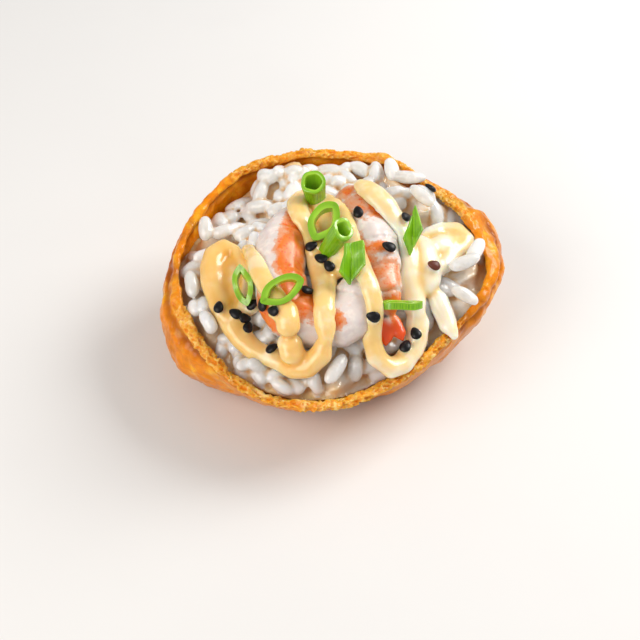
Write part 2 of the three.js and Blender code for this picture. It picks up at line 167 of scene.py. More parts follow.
def ball(across, segments, rings):
    """A ball, its size given in millimetres."""
    bpy.ops.object.select_all(action="DESELECT")
    bpy.ops.mesh.primitive_uv_sphere_add(segments=segments, ring_count=rings, radius=0.5 * across * MM)
    return bpy.context.object


def name_new(name):
    """Names the object that was just added, and its mesh."""
    piece = bpy.context.object
    piece.name = piece.data.name = name
    return piece


def unit_ball_along_x(segments, rings):
    """A ball one millimetre across, with its poles at the two ends along X."""
    piece = ball(1, segments, rings)
    bpy.ops.object.mode_set(mode="EDIT")
    bpy.ops.transform.rotate(value=math.pi / 2, orient_axis="Y", center_override=(0, 0, 0))
    bpy.ops.object.mode_set(mode="OBJECT")
    return piece


def copy_of_node(node, name):
    """A new object with a merged copy of a CAD node's mesh."""
    mesh = frame["nodes"][node].data.copy()
    mesh.materials.clear()
    piece = bpy.data.objects.new(name, mesh)
    piece.data.name = name
    bpy.context.scene.collection.objects.link(piece)
    only(piece)
    bpy.ops.mesh.customdata_custom_splitnormals_clear()
    bpy.ops.object.mode_set(mode="EDIT")
    bpy.ops.mesh.select_all(action="SELECT")
    bpy.ops.mesh.remove_doubles(threshold=0.001 * MM)
    bpy.ops.mesh.normals_make_consistent(inside=False)
    bpy.ops.object.mode_set(mode="OBJECT")
    return piece


def finish_with(piece, kind, **settings):
    """Adds a modifier and applies it."""
    only(piece)
    bpy.ops.object.modifier_add(type=kind)
    modifier = piece.modifiers[-1]
    for name, value in settings.items():
        setattr(modifier, name, value)
    bpy.ops.object.modifier_apply(modifier=modifier.name)


def relax(piece, rounds):
    """Smooths a piece's mesh."""
    finish_with(piece, "SMOOTH", factor=0.5, iterations=rounds)


def remesh(piece, voxel, rounds):
    """Gives a piece an even mesh and smooths its flats away."""
    finish_with(piece, "REMESH", mode="VOXEL", voxel_size=voxel, use_smooth_shade=True)
    relax(piece, rounds)


def vectors(mesh, what):
    """One vector of each of the mesh's vertices, as the rows of an array."""
    values = np.empty(len(mesh.vertices) * 3, np.float32)
    mesh.vertices.foreach_get(what, values)
    return values.reshape(-1, 3).astype(float)


def places(mesh):
    """Where the mesh's vertices are, in millimetres."""
    return vectors(mesh, "co") / MM


def directions(mesh):
    """Which way the mesh's vertices face."""
    return vectors(mesh, "normal")


def put_back(mesh, co):
    """Writes vertices in millimetres back to the mesh."""
    mesh.vertices.foreach_set("co", (co * MM).astype(np.float32).ravel())
    mesh.update()


def push_out(mesh, rise):
    """Moves each vertex outwards by its own distance in millimetres."""
    put_back(mesh, places(mesh) + directions(mesh) * rise[:, None])


def mark(mesh, **numbers):
    """Stores named numbers on the vertices for the material to read: one for all, or one for each."""
    for name, values in numbers.items():
        attribute = mesh.attributes.new(name, "FLOAT", "POINT")
        attribute.data.foreach_set("value", np.full(len(mesh.vertices), values, np.float32))


def stands_out(piece, rounds):
    """How far each vertex stands over (+) or under (-) the piece's own smoothed form, in millimetres."""
    copy = piece.copy()
    copy.data = piece.data.copy()
    bpy.context.scene.collection.objects.link(copy)
    relax(copy, rounds)
    over = ((places(piece.data) - places(copy.data)) * directions(piece.data)).sum(1)
    bpy.data.objects.remove(copy)
    return over


def relief(co, size, seed=0, stretch=(1, 1, 1)):
    """Soft noise between about -1 and 1 at each place, with lumps of a given size in millimetres."""
    at = co / (size * np.array(stretch)) + 31.7 * seed
    return np.array([noise.noise(p) for p in at.tolist()])


def cells(co, size, seed=0):
    """Cells like a sponge's: 0 on the walls between them, rising to about 1 in their middles."""
    at = co / np.array(size) + 17.3 * seed
    near = [noise.voronoi(p)[0] for p in at.tolist()]
    return np.array([distances[1] - distances[0] for distances in near])


def shifted(x, y):
    """A place's x and y after the part's centring."""
    return x + SHIFT_MM[0], y + SHIFT_MM[1]


def smoothstep(low, high, values):
    """Rises smoothly from 0 where the values are under `low` to 1 where they are over `high`."""
    t = np.clip((values - low) / (high - low), 0, 1)
    return t * t * (3 - 2 * t)


def surface(pieces):
    """One tree of the faces of several objects, to look for what is under or near a point."""
    verts = []
    faces = []
    for piece in pieces:
        start = len(verts)
        verts += [v.co.copy() for v in piece.data.vertices]
        faces += [[start + i for i in p.vertices] for p in piece.data.polygons]
    return BVHTree.FromPolygons(verts, faces)


def look_down(tree, x, y):
    """The height of what lies uppermost at x and y, all in millimetres, or None where nothing lies."""
    place = tree.ray_cast(Vector((x, y, OVER_ALL_MM)) * MM, Vector((0, 0, -1)))[0]
    return None if place is None else place.z / MM


def heights_around(tree, x, y, reach):
    """The heights at four places around one: to its +X, -X, +Y and -Y."""
    steps = ((reach, 0), (-reach, 0), (0, reach), (0, -reach))
    return [look_down(tree, x + dx, y + dy) for dx, dy in steps]


def joined_copies(name, base, matrices):
    """One object of many copies of a small one, each in its own place."""
    verts = places(base.data)
    faces = [list(p.vertices) for p in base.data.polygons]
    all_verts = np.concatenate([verts @ np.array(m)[:3, :3].T + np.array(m)[:3, 3] for m in matrices])
    all_faces = [[i + k * len(verts) for i in f] for k in range(len(matrices)) for f in faces]
    mesh = bpy.data.meshes.new(name)
    mesh.from_pydata((all_verts * MM).tolist(), [], all_faces)
    bpy.data.objects.remove(base)
    piece = bpy.data.objects.new(name, mesh)
    bpy.context.scene.collection.objects.link(piece)
    return piece


def dress(piece, material, slot, *nodes):
    """Gives a finished piece its material, and hangs it in the frame in place of its CAD nodes."""
    piece.data.materials.clear()
    piece.data.materials.append(material)
    only(piece)
    bpy.ops.object.shade_smooth()
    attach(piece, "root")
    if nodes:
        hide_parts(*nodes)


# ---- Helpers for materials ----


def feed(tree, value, socket):
    """Gives a socket its value, or links it where the value is a socket itself."""
    if isinstance(value, bpy.types.NodeSocket):
        tree.links.new(value, socket)
    else:
        socket.default_value = value


def put(tree, kind, inputs=None, **settings):
    """Adds a shader node with its inputs, each a value or a socket."""
    node = tree.nodes.new("ShaderNode" + kind)
    for name, value in settings.items():
        setattr(node, name, value)
    for name, value in (inputs or {}).items():
        feed(tree, value, node.inputs[name])
    return node


def colour(rgb):
    """A colour as a socket takes it, opaque."""
    return (*rgb, 1.0)


def shade_of(rgb, factor):
    """A darker or lighter colour of the same hue."""
    return [factor * c for c in rgb]


def blended(first, second, share):
    """A colour between two, with a share of the second."""
    return [(1 - share) * a + share * b for a, b in zip(first, second)]


def mixed(tree, factor, first, second, blend="MIX"):
    """The colour that lies at `factor` between two, each a colour or a socket."""
    node = put(tree, "Mix", {0: factor, 6: first, 7: second}, data_type="RGBA", blend_type=blend)
    return node.outputs[2]


def between(tree, value, low, high, to_low=0.0, to_high=1.0):
    """A value mapped smoothly from low..high to to_low..to_high."""
    inputs = {"Value": value, "From Min": low, "From Max": high, "To Min": to_low, "To Max": to_high}
    return put(tree, "MapRange", inputs, interpolation_type="SMOOTHSTEP").outputs["Result"]


def sums(tree, operation, first, second=0.0):
    """The result of a Math node with two values or sockets."""
    return put(tree, "Math", {0: first, 1: second}, operation=operation).outputs[0]


def new_group(name, inputs, outputs):
    """A shader node group with named sockets, and its input and output nodes."""
    group = bpy.data.node_groups.new(name, "ShaderNodeTree")
    for socket, kind, default in inputs:
        made = group.interface.new_socket(name=socket, in_out="INPUT", socket_type="NodeSocket" + kind)
        if default is not None:
            made.default_value = default
    for socket, kind in outputs:
        group.interface.new_socket(name=socket, in_out="OUTPUT", socket_type="NodeSocket" + kind)
    return group, group.nodes.new("NodeGroupInput").outputs, group.nodes.new("NodeGroupOutput").inputs


def mottling_group():
    """Cloudy change between three colours, broad and fine; used by every food."""
    name = "Food mottling"
    if name in bpy.data.node_groups:
        return bpy.data.node_groups[name]
    group, given, made = new_group(
        name,
        [
            ("Vector", "Vector", None),
            ("Broad size", "Float", 6.0),
            ("Fine size", "Float", 1.2),
            ("Dark", "Color", (0, 0, 0, 1)),
            ("Middle", "Color", (0.5, 0.5, 0.5, 1)),
            ("Light", "Color", (1, 1, 1, 1)),
        ],
        [("Color", "Color")],
    )
    broad_scale = sums(group, "DIVIDE", 1000.0, given["Broad size"])
    fine_scale = sums(group, "DIVIDE", 1000.0, given["Fine size"])
    broad = put(group, "TexNoise", {"Vector": given["Vector"], "Scale": broad_scale, "Detail": 3.0})
    fine = put(group, "TexNoise", {"Vector": given["Vector"], "Scale": fine_scale, "Detail": 4.0})
    broad_part = sums(group, "MULTIPLY", broad.outputs[0], 0.62)
    fine_part = sums(group, "MULTIPLY", fine.outputs[0], 0.38)
    both = sums(group, "ADD", broad_part, fine_part)
    low = between(group, both, 0.36, 0.5)
    high = between(group, both, 0.5, 0.64)
    shade = mixed(group, low, given["Dark"], given["Middle"])
    group.links.new(mixed(group, high, shade, given["Light"]), made["Color"])
    return group


def pores_group():
    """Height of small pits and bumps, for the Bump node of a moist surface."""
    name = "Food pores"
    if name in bpy.data.node_groups:
        return bpy.data.node_groups[name]
    group, given, made = new_group(
        name,
        [("Vector", "Vector", None), ("Size", "Float", 0.8), ("Roughness", "Float", 0.6)],
        [("Height", "Float")],
    )
    scale = sums(group, "DIVIDE", 1000.0, given["Size"])
    inputs = {"Vector": given["Vector"], "Scale": scale, "Detail": 5.0, "Roughness": given["Roughness"]}
    bumps = put(group, "TexNoise", inputs)
    pits = put(group, "TexVoronoi", {"Vector": given["Vector"], "Scale": scale}, feature="SMOOTH_F1")
    half_pits = sums(group, "MULTIPLY", pits.outputs[0], 0.5)
    group.links.new(sums(group, "ADD", bumps.outputs[0], half_pits), made["Height"])
    return group


class Finish:
    """A new material: its Principled shader, its object coordinates, and what every food's finish uses."""

    def __init__(self, name, **settings):
        self.material = bpy.data.materials.new(name)
        self.material.use_nodes = True
        self.tree = self.material.node_tree
        self.shader = self.tree.nodes["Principled BSDF"]
        self.where = put(self.tree, "TexCoord").outputs["Object"]
        for socket, value in settings.items():
            self.shader.inputs[socket.replace("_", " ")].default_value = value

    def link(self, value, socket):
        """Feeds one of the shader's sockets."""
        self.tree.links.new(value, self.shader.inputs[socket])

    def attribute(self, name):
        """A number that the piece's vertices carry."""
        return put(self.tree, "Attribute", attribute_name=name).outputs["Fac"]

    def noise(self, **inputs):
        """A cloudy pattern on the object's own coordinates."""
        return put(self.tree, "TexNoise", {"Vector": self.where, **inputs}).outputs

    def mottled(self, broad_size, fine_size, dark, middle, light):
        """Cloudy change between three colours, its broad and fine patches given in millimetres."""
        inputs = {
            "Vector": self.where,
            "Broad size": broad_size,
            "Fine size": fine_size,
            "Dark": colour(dark),
            "Middle": colour(middle),
            "Light": colour(light),
        }
        return put(self.tree, "Group", inputs, node_tree=mottling_group()).outputs["Color"]

    def pores(self, size, roughness):
        """Height of small pits and bumps of a given size in millimetres."""
        inputs = {"Vector": self.where, "Size": size, "Roughness": roughness}
        return put(self.tree, "Group", inputs, node_tree=pores_group()).outputs["Height"]

    def bump(self, height, depth, strength):
        """Makes the surface's shading follow a height; `depth` is in metres."""
        node = put(self.tree, "Bump", {"Height": height, "Distance": depth, "Strength": strength})
        self.link(node.outputs["Normal"], "Normal")

    def subsurface(self, weight, radius, scale):
        """Lets light into the food, with a share for each of red, green and blue; `scale` is in metres."""
        self.shader.inputs["Subsurface Weight"].default_value = weight
        self.shader.inputs["Subsurface Radius"].default_value = radius
        self.shader.inputs["Subsurface Scale"].default_value = scale


# ---- Properties ----


def length(name, description, default):
    """A length that the user may change."""
    return FloatProperty(name=name, description=description, default=default, unit="LENGTH", precision=5)


def tint(name, description, default):
    """A colour that the user may change."""
    return FloatVectorProperty(
        name=name, description=description, default=default, subtype="COLOR", size=3, min=0, max=1
    )


class PouchSettings(PropertyGroup):
    """Sizes and colours of the fried tofu pouch."""

    voxel: length("Mesh size", "Edge of the even mesh that the skin is worked in", 0.6 * MM)
    folds: length("Folds", "Height of the skin's long soft folds", 0.65 * MM)
    puckers: length("Puckers", "Height of the skin's small puckers", 0.3 * MM)
    torn_width: length("Torn edge", "How far the spongy tear reaches below the mouth", 1.6 * MM)
    torn_depth: length("Tear depth", "Depth of the pits in the torn edge", 1.1 * MM)
    # deep is also the colour of the painted shade in the skin's creases and in the groove under the tear
    deep: tint("Deep", "Colour in the skin's creases", (0.36, 0.085, 0.001))
    amber: tint("Amber", "Main colour of the skin", (0.8, 0.25, 0.001))
    gold: tint("Gold", "Colour of the skin's lighter patches", (0.93, 0.45, 0.02))
    crumb: tint("Crumb", "Colour of the torn edge", (0.84, 0.4, 0.05))


class RiceSettings(PropertyGroup):
    """Sizes, number and colours of the grains of rice."""

    length: length("Length", "Length of a usual grain", 6.4 * MM)
    width: length("Width", "Width of a usual grain", 3.7 * MM)
    height: length("Height", "Thickness of a usual grain", 3.2 * MM)
    tries: IntProperty(name="Tries", description="How many grains are dropped on the heap", default=15000)
    depth: length("Bed", "Depth of the core under the heap's surface", 2.5 * MM)
    voxel: length("Mesh size", "Edge of the even mesh in which the grains stick together", 0.42 * MM)
    white: tint("White", "Colour of the clear grains", (0.7, 0.695, 0.68))
    chalk: tint("Chalk", "Colour of the chalky grains", (0.82, 0.825, 0.83))
    # Painted warm shade for grains low in the heap, the core, the gaps between grains and the core by the
    # skin
    warm_shade: tint("Damp", "Colour where a grain is wet with seasoning", (0.78, 0.5, 0.2))


class PrawnSettings(PropertyGroup):
    """Sizes and colours of the prawns."""

    segments: IntProperty(name="Segments", description="Segments along each body", default=6)
    groove: length("Groove", "Depth of the grooves between segments", 0.3 * MM)
    lumps: length("Lumps", "Height of the soft lumps in the flesh", 0.35 * MM)
    flesh: tint("Flesh", "Colour of the white flesh", (0.79, 0.7, 0.67))
    orange: tint("Orange", "Colour of the cooked bands", (0.8, 0.195, 0.012))
    pink: tint("Pink", "Colour between band and flesh", (0.78, 0.38, 0.22))
    red: tint("Red", "Colour of the tail and the specks", (0.8, 0.085, 0.004))


class MayonnaiseSettings(PropertyGroup):
    """Mesh size and colours of the mayonnaise."""

    voxel: length("Mesh size", "Edge of the even mesh that the sauce is worked in", 0.42 * MM)
    rounds: IntProperty(name="Smoothing", description="Rounds of smoothing", default=14)
    swell: length("Swell", "How far the smoothed sauce is plumped out again", 0.36 * MM)
    cream: tint("Cream", "Main colour of the sauce", (0.94, 0.645, 0.25))
    # yolk is partly painted shade in the hollows, and pale is painted light on the ridges and towards +X
    yolk: tint("Yolk", "Colour of its thin edges and hollows", (0.84, 0.45, 0.08))
    pale: tint("Pale", "Colour of its thick ridges", (0.98, 0.93, 0.82))


class OnionSettings(PropertyGroup):
    """Colours of the spring onion."""

    skin: tint("Skin", "Colour of the outer skin", (0.07, 0.27, 0.003))
    bright: tint("Bright", "Colour of the lighter skin", (0.33, 0.66, 0.008))
    cut: tint("Cut", "Colour of the cut faces and the inner wall", (0.38, 0.66, 0.04))


class SesameSettings(PropertyGroup):
    """Size and colours of the sesame seeds."""

    length: length("Length", "Length of a seed", 3.3 * MM)
    width: length("Width", "Width of a seed", 2.5 * MM)
    height: length("Height", "Thickness of a seed", 1.4 * MM)
    black: tint("Black", "Colour of the black seeds", (0.004, 0.0035, 0.0045))
    brown: tint("Brown", "Colour of the brown seed", (0.13, 0.035, 0.022))


class StageSettings(PropertyGroup):
    """Floor, lights and camera."""

    floor: tint("Floor", "Colour of the floor", (0.76, 0.755, 0.75))
    key_power: FloatProperty(name="Key", description="Power of the main light", default=2.45, unit="POWER")
    fill_power: FloatProperty(
        name="Fill", description="Power of the second light", default=2.0, unit="POWER"
    )
    sky: FloatProperty(name="Sky", description="Strength of the even light all round", default=0.4)
    lens: FloatProperty(name="Lens", description="Focal length", default=84.68, unit="CAMERA")


# ---- Pouch ----


def mouth_heights(co, parts=90):
    """For each vertex, the height of the mouth's edge in its direction, read from the mesh itself."""
    turn = (np.arctan2(co[:, 1], co[:, 0]) / (2 * math.pi) * parts) % parts
    tops = np.array([co[turn.astype(int) == k][:, 2].max() for k in range(parts)])
    tops = (np.roll(tops, 1) + 2 * tops + np.roll(tops, -1)) / 4
    wrapped = np.concatenate([tops[-1:], tops, tops[:1]])
    return np.interp(turn, np.arange(-1, parts + 1) + 0.5, wrapped)


# Where the edge is torn open, and not folded smooth: direction and reach in degrees, and strength.
TEARS = [
    (265, 72, 1.0),
    (92, 44, 0.8),
    (38, 12, 0.9),
]
PALE_CRUMB = (0.94, 0.62, 0.22)  # the lightest spots of the torn edge
MOUTH_RADIUS_MM = 36  # the mean, to measure how far apart cells lie along the mouth
FLAT_FOOT_MM = 0.6  # under this height the skin keeps the smooth flat spot that it rests on


def tear_strength(co):
    """How far the edge is torn open in each vertex's direction: 0 where it is folded smooth."""
    turn = np.degrees(np.arctan2(co[:, 1], co[:, 0])) + 8 * relief(co, 6, 12)
    strength = np.full(len(co), 0.06)
    for middle, reach, depth in TEARS:
        off = np.abs((turn - middle + 180) % 360 - 180)
        strength = np.maximum(strength, depth * (1 - smoothstep(0.8 * reach, 1.2 * reach, off)))
    return strength


def fried_tofu(look):
    """Moist amber skin with painted shade in its creases, fine veins, and a paler spongy tear."""
    finish = Finish("fried_tofu", Specular_IOR_Level=0.12, Coat_Weight=0.3, Coat_Roughness=0.1)
    tree = finish.tree
    skin = finish.mottled(11.0, 2.2, blended(look.amber, look.deep, 0.45), look.amber, look.gold)
    crumb = finish.mottled(1.8, 0.5, look.amber, look.crumb, PALE_CRUMB)
    # Fine veins are the walls of cells whose places are shifted a little, so that none runs straight.
    bent = finish.noise(Scale=260.0, Detail=2.0)[1]
    shift = put(tree, "VectorMath", {0: bent, 1: (0.004, 0.004, 0.004)}, operation="MULTIPLY").outputs[0]
    bent_where = put(tree, "VectorMath", {0: finish.where, 1: shift}, operation="ADD").outputs[0]
    cracks = put(tree, "TexVoronoi", {"Vector": bent_where, "Scale": 300.0}, feature="DISTANCE_TO_EDGE")
    vein = between(tree, cracks.outputs["Distance"], 0.0, 0.09, 1.0, 0.0)
    torn = finish.attribute("torn")
    veined = mixed(tree, sums(tree, "MULTIPLY", vein, 0.16), skin, colour(look.deep))
    # Painted shade: the creases and the groove under the tear darken towards deep.
    shaded = mixed(tree, finish.attribute("crease"), veined, colour(look.deep))
    pitted = mixed(tree, finish.attribute("pit"), crumb, colour(look.amber))
    finish.link(mixed(tree, torn, shaded, pitted), "Base Color")
    finish.link(between(tree, torn, 0.0, 1.0, 0.32, 0.55), "Roughness")
    height = sums(tree, "SUBTRACT", finish.pores(1.3, 0.6), sums(tree, "MULTIPLY", vein, 0.3))
    finish.bump(height, 0.14 * MM, 0.6)
    finish.subsurface(0.45, (1.0, 0.42, 0.08), 2.5 * MM)
    return finish.material


class INARI_OT_pouch(Operator):
    """Model the fried tofu pouch with its folds and torn edge"""

    bl_idname = "inari.pouch"
    bl_label = "Tofu pouch"

    def execute(self, context):
        look = context.scene.inari_pouch
        pouch = copy_of_node("pouch", "tofu_pouch")
        remesh(pouch, look.voxel, 8)
        self.refine_edge(pouch)
        self.work_skin(pouch, look)
        dress(pouch, fried_tofu(look), "fried_tofu", "pouch")
        return {"FINISHED"}

    def refine_edge(self, pouch, reach=3.5):
        """Halves the mesh's edges near the mouth, where the tear needs finer detail."""
        co = places(pouch.data)
        select_vertices(pouch, mouth_heights(co) - co[:, 2] < reach)
        bpy.ops.mesh.subdivide(number_cuts=1)
        bpy.ops.object.mode_set(mode="OBJECT")

    def work_skin(self, pouch, look):
        """Folds and puckers over the whole skin, and pits and crumbs along the torn edge."""
        mesh = pouch.data
        co = places(mesh)
        below = mouth_heights(co) - co[:, 2] + 0.5 * relief(co, 3, 9)
        torn_width = look.torn_width / MM
        torn = 1 - smoothstep(0.6 * torn_width, 1.15 * torn_width, below)
        torn *= tear_strength(co)
        folds = relief(co, 7, 1, (1, 1, 1.8)) + 0.45 * relief(co, 3.4, 2, (1, 1, 1.6))
        puckers = relief(co, 2.2, 3) + 0.5 * relief(co, 1.2, 4)
        # The tear's cells are drawn out along the mouth.
        round_mouth = MOUTH_RADIUS_MM * np.arctan2(co[:, 1], co[:, 0])
        along = np.column_stack([round_mouth, np.hypot(co[:, 0], co[:, 1]), co[:, 2]])
        open_cells = smoothstep(0.06, 0.45, cells(along, (2.9, 1.1, 1.3), 5))
        open_cells *= smoothstep(-0.35, 0.15, relief(co, 3, 6))
        pits = np.maximum(open_cells, 0.6 * smoothstep(0.1, 0.5, cells(along, (1.3, 0.8, 0.8), 11)))
        # A soft groove runs round the mouth, just under the tear.
        lip = np.exp(-(((below - 1.5 * torn_width) / 0.8) ** 2))
        rise = look.folds / MM * folds + look.puckers / MM * puckers - 0.45 * lip * (1 + relief(co, 5, 10))
        ragged = 0.35 + 0.6 * relief(co, 4.5, 7) + 0.25 * relief(co, 1.8, 8) - look.torn_depth / MM * pits
        rise = rise * (1 - torn) + torn * ragged
        off_foot = smoothstep(FLAT_FOOT_MM, 3, co[:, 2])
        push_out(mesh, rise * off_foot)
        # Painted shade in the valleys of the folds and in the groove just under the tear.
        crease = np.clip(smoothstep(0.1, 0.75, -folds) * 0.7 + 0.7 * lip * (1 - torn), 0, 1)
        mark(mesh, torn=torn, pit=pits * 0.75, crease=crease)


# ---- Rice ----

# Grains that stand out: x, y, their middle's height over the heap's outline, turn and tilt in degrees,
# and length.
SHOWN_GRAINS_MM = [
    (-31.3, 11.0, 1.6, 95, 25, 6.5),
    (-27.2, 10.6, 1.6, 20, 10, 5.5),
    (-33.2, 5.0, 1.6, 30, 10, 6),
    (-29.8, 2.0, 2.0, 70, 10, 6),
    (-33.8, -3.4, 1.6, 100, 15, 7),
    (-31.2, -4.6, 2.0, 60, 10, 6),
    (-31, -9.8, 1.8, 30, 10, 6.5),
    (-29.2, -14.8, 1.6, 120, 10, 6.5),
    (-18.5, 26, 0.2, 125, 10, 6),
    (-14.5, 27.2, 0.2, 120, 10, 7),
    (6, 29, 0.1, 150, 8, 6.5),
    (17.6, 23.5, 1.6, -9, 5, 8.5),
    (13.5, 26, 1.2, 100, 10, 6.5),
    (20.5, 16, 1.4, -53, 5, 8.5),
    (33.2, 3.5, 2.0, 60, 15, 7.5),
    (30.4, 0, 2.0, 20, 10, 8),
    (27.6, -3.4, 1.8, 100, 10, 7),
    (33.4, -4, 1.8, 70, 15, 6.5),
    (30.4, -7, 2.0, 150, 10, 7.5),
    (0.5, -27, 1.4, 62, 10, 8.5),
    (17.5, -20.5, 1.2, 10, 8, 7.5),
]
CORE_MESH = 1.0 * MM  # edge of the core's even mesh
GRAIN_SPREAD_MM = 38  # grains are dropped this far to each side of the middle
BANK_MM = (-14, 27, 10, 8, 2.3)  # rice piled against the back: x, y, reach along X and Y, and height
STAND_OVER_MM = 1.2  # how far a dropped grain's top may stand over the heap's own outline
FIRST_SINK_MM = 0.8  # how far a grain sinks in, in the first half of those dropped
LAST_SINK_MM = 1.8  # and in the second half
SKIN_ROOM = 0.42  # least distance from a grain's middle line to the skin, in thicknesses of the grain
TOPPING_ROOM = 0.3  # the same to the toppings
COVERED_MM = 5  # a grain may lie under a topping no further down than this
ALONG_GRAIN = (-0.38, 0, 0.38)  # where along its length a grain's room is tried, 0 being its middle
BED_TONE = -0.2  # the core's; tones run from under 0 (painted warm shade) to 1 (chalky)
CLING_MM = 0.6  # what lies no further than this from a grain has the grain's tone
HIDDEN_BELOW_MM = 22  # the pouch hides what faces down under this height
HALF_MOUTH_MM = (38, 32)  # half the mouth's length and width, where the rice meets the skin


class Heap:
    """Heights over a grid, in millimetres, on which grains are laid one after another."""

    STEP = 0.45  # from one of the grid's lines to the next
    REACH = 42  # from the middle to each side
    EMPTY = -50.0  # the height where nothing lies
    MARGIN = 8  # how many steps the bed goes on, level, past its own edge

    def __init__(self, tree):
        self.count = int(2 * self.REACH / self.STEP)
        self.line = (np.arange(self.count) + 0.5) * self.STEP - self.REACH
        self.height = np.full((self.count, self.count), self.EMPTY)
        for i, x in enumerate(self.line):
            for j, y in enumerate(self.line):
                z = look_down(tree, x, y)
                if z is not None:
                    self.height[i, j] = z
        for _ in range(self.MARGIN):
            around = [np.roll(self.height, step, axis) for step in (-1, 1) for axis in (0, 1)]
            self.height = np.where(self.height < 0, np.max(around, axis=0), self.height)

    def at(self, x, y):
        """The height at a place."""
        i, j = (int(np.clip((v + self.REACH) / self.STEP, 0, self.count - 1)) for v in (x, y))
        return self.height[i, j]

    def window(self, x, y, half):
        """Slices and coordinates of the grid within `half` of a point."""
        lows = [max(int((v - half + self.REACH) / self.STEP), 0) for v in (x, y)]
        highs = [min(int((v + half + self.REACH) / self.STEP) + 1, self.count) for v in (x, y)]
        part = (slice(lows[0], highs[0]), slice(lows[1], highs[1]))
        xs, ys = np.meshgrid(self.line[part[0]], self.line[part[1]], indexing="ij")
        return part, xs - x, ys - y


def rest_on(heap, x, y, turn, size, sink):
    """Height and tilt at which a grain comes to rest, and its footprint on the heap."""
    ahead = np.array([math.cos(turn), math.sin(turn)])
    reach = 0.32 * size[0]  # from its middle to where each end bears
    front = heap.at(x + ahead[0] * reach, y + ahead[1] * reach)
    back = heap.at(x - ahead[0] * reach, y - ahead[1] * reach)
    steepest = 0.75  # in radians
    tilt = float(np.clip(math.atan2(front - back, 2 * reach), -steepest, steepest))
    part, dx, dy = heap.window(x, y, 0.5 * size[0])
    along = (dx * ahead[0] + dy * ahead[1]) / (0.5 * size[0] * math.cos(tilt))
    across = (dy * ahead[0] - dx * ahead[1]) / (0.5 * size[1])
    inside = along**2 + across**2
    under = inside < 1
    bulge = 0.5 * size[2] * np.sqrt(np.clip(1 - inside, 0, 1))
    slope = along * 0.5 * size[0] * math.sin(tilt)
    ground = heap.height[part]
    if not under.any() or ground[under].min() < 0:  # part of it would lie off the bed
        return None
    highest_touch = 92  # in percent, because the very highest spots give way
    z = np.percentile((ground - slope + bulge)[under], highest_touch) - sink
    return z, tilt, part, under, slope + bulge


def banked(x, y):
    """How much higher the rice is piled against the back of the skin, in millimetres."""
    middle_x, middle_y, reach_x, reach_y, height = BANK_MM
    off = np.hypot((x - middle_x) / reach_x, (y - middle_y) / reach_y)
    return height * (1 - smoothstep(0.3, 1.0, off))


def moist_rice(look):
    """Glossy grains, clear to chalky, with painted warm shade low in the heap, in the gaps between grains
    and on the core by the skin.
    """
    finish = Finish("cooked_rice", Roughness=0.24, Coat_Weight=0.5, Coat_Roughness=0.08)
    tree = finish.tree
    cloud = finish.mottled(4.0, 1.2, shade_of(look.white, 0.93), look.white, look.chalk)
    tone = finish.attribute("tone")
    chalky = mixed(tree, between(tree, tone, 0.0, 1.0), cloud, colour(look.chalk))
    # Painted shade: a tone under 0, given to grains low in the heap and to the core, mixes in the warm
    # shade colour.
    depth_shaded = mixed(tree, between(tree, tone, 0.1, -0.9), chalky, colour(look.warm_shade))
    # Painted shade: the gaps between grains and the core by the skin take the warm shade colour.
    wet = sums(tree, "MULTIPLY", finish.attribute("gap"), 0.85)
    finish.link(mixed(tree, wet, depth_shaded, colour(look.warm_shade)), "Base Color")
    finish.bump(finish.pores(1.1, 0.4), 0.07 * MM, 0.3)
    finish.subsurface(1.0, (1.0, 0.86, 0.72), 3.2 * MM)
    return finish.material


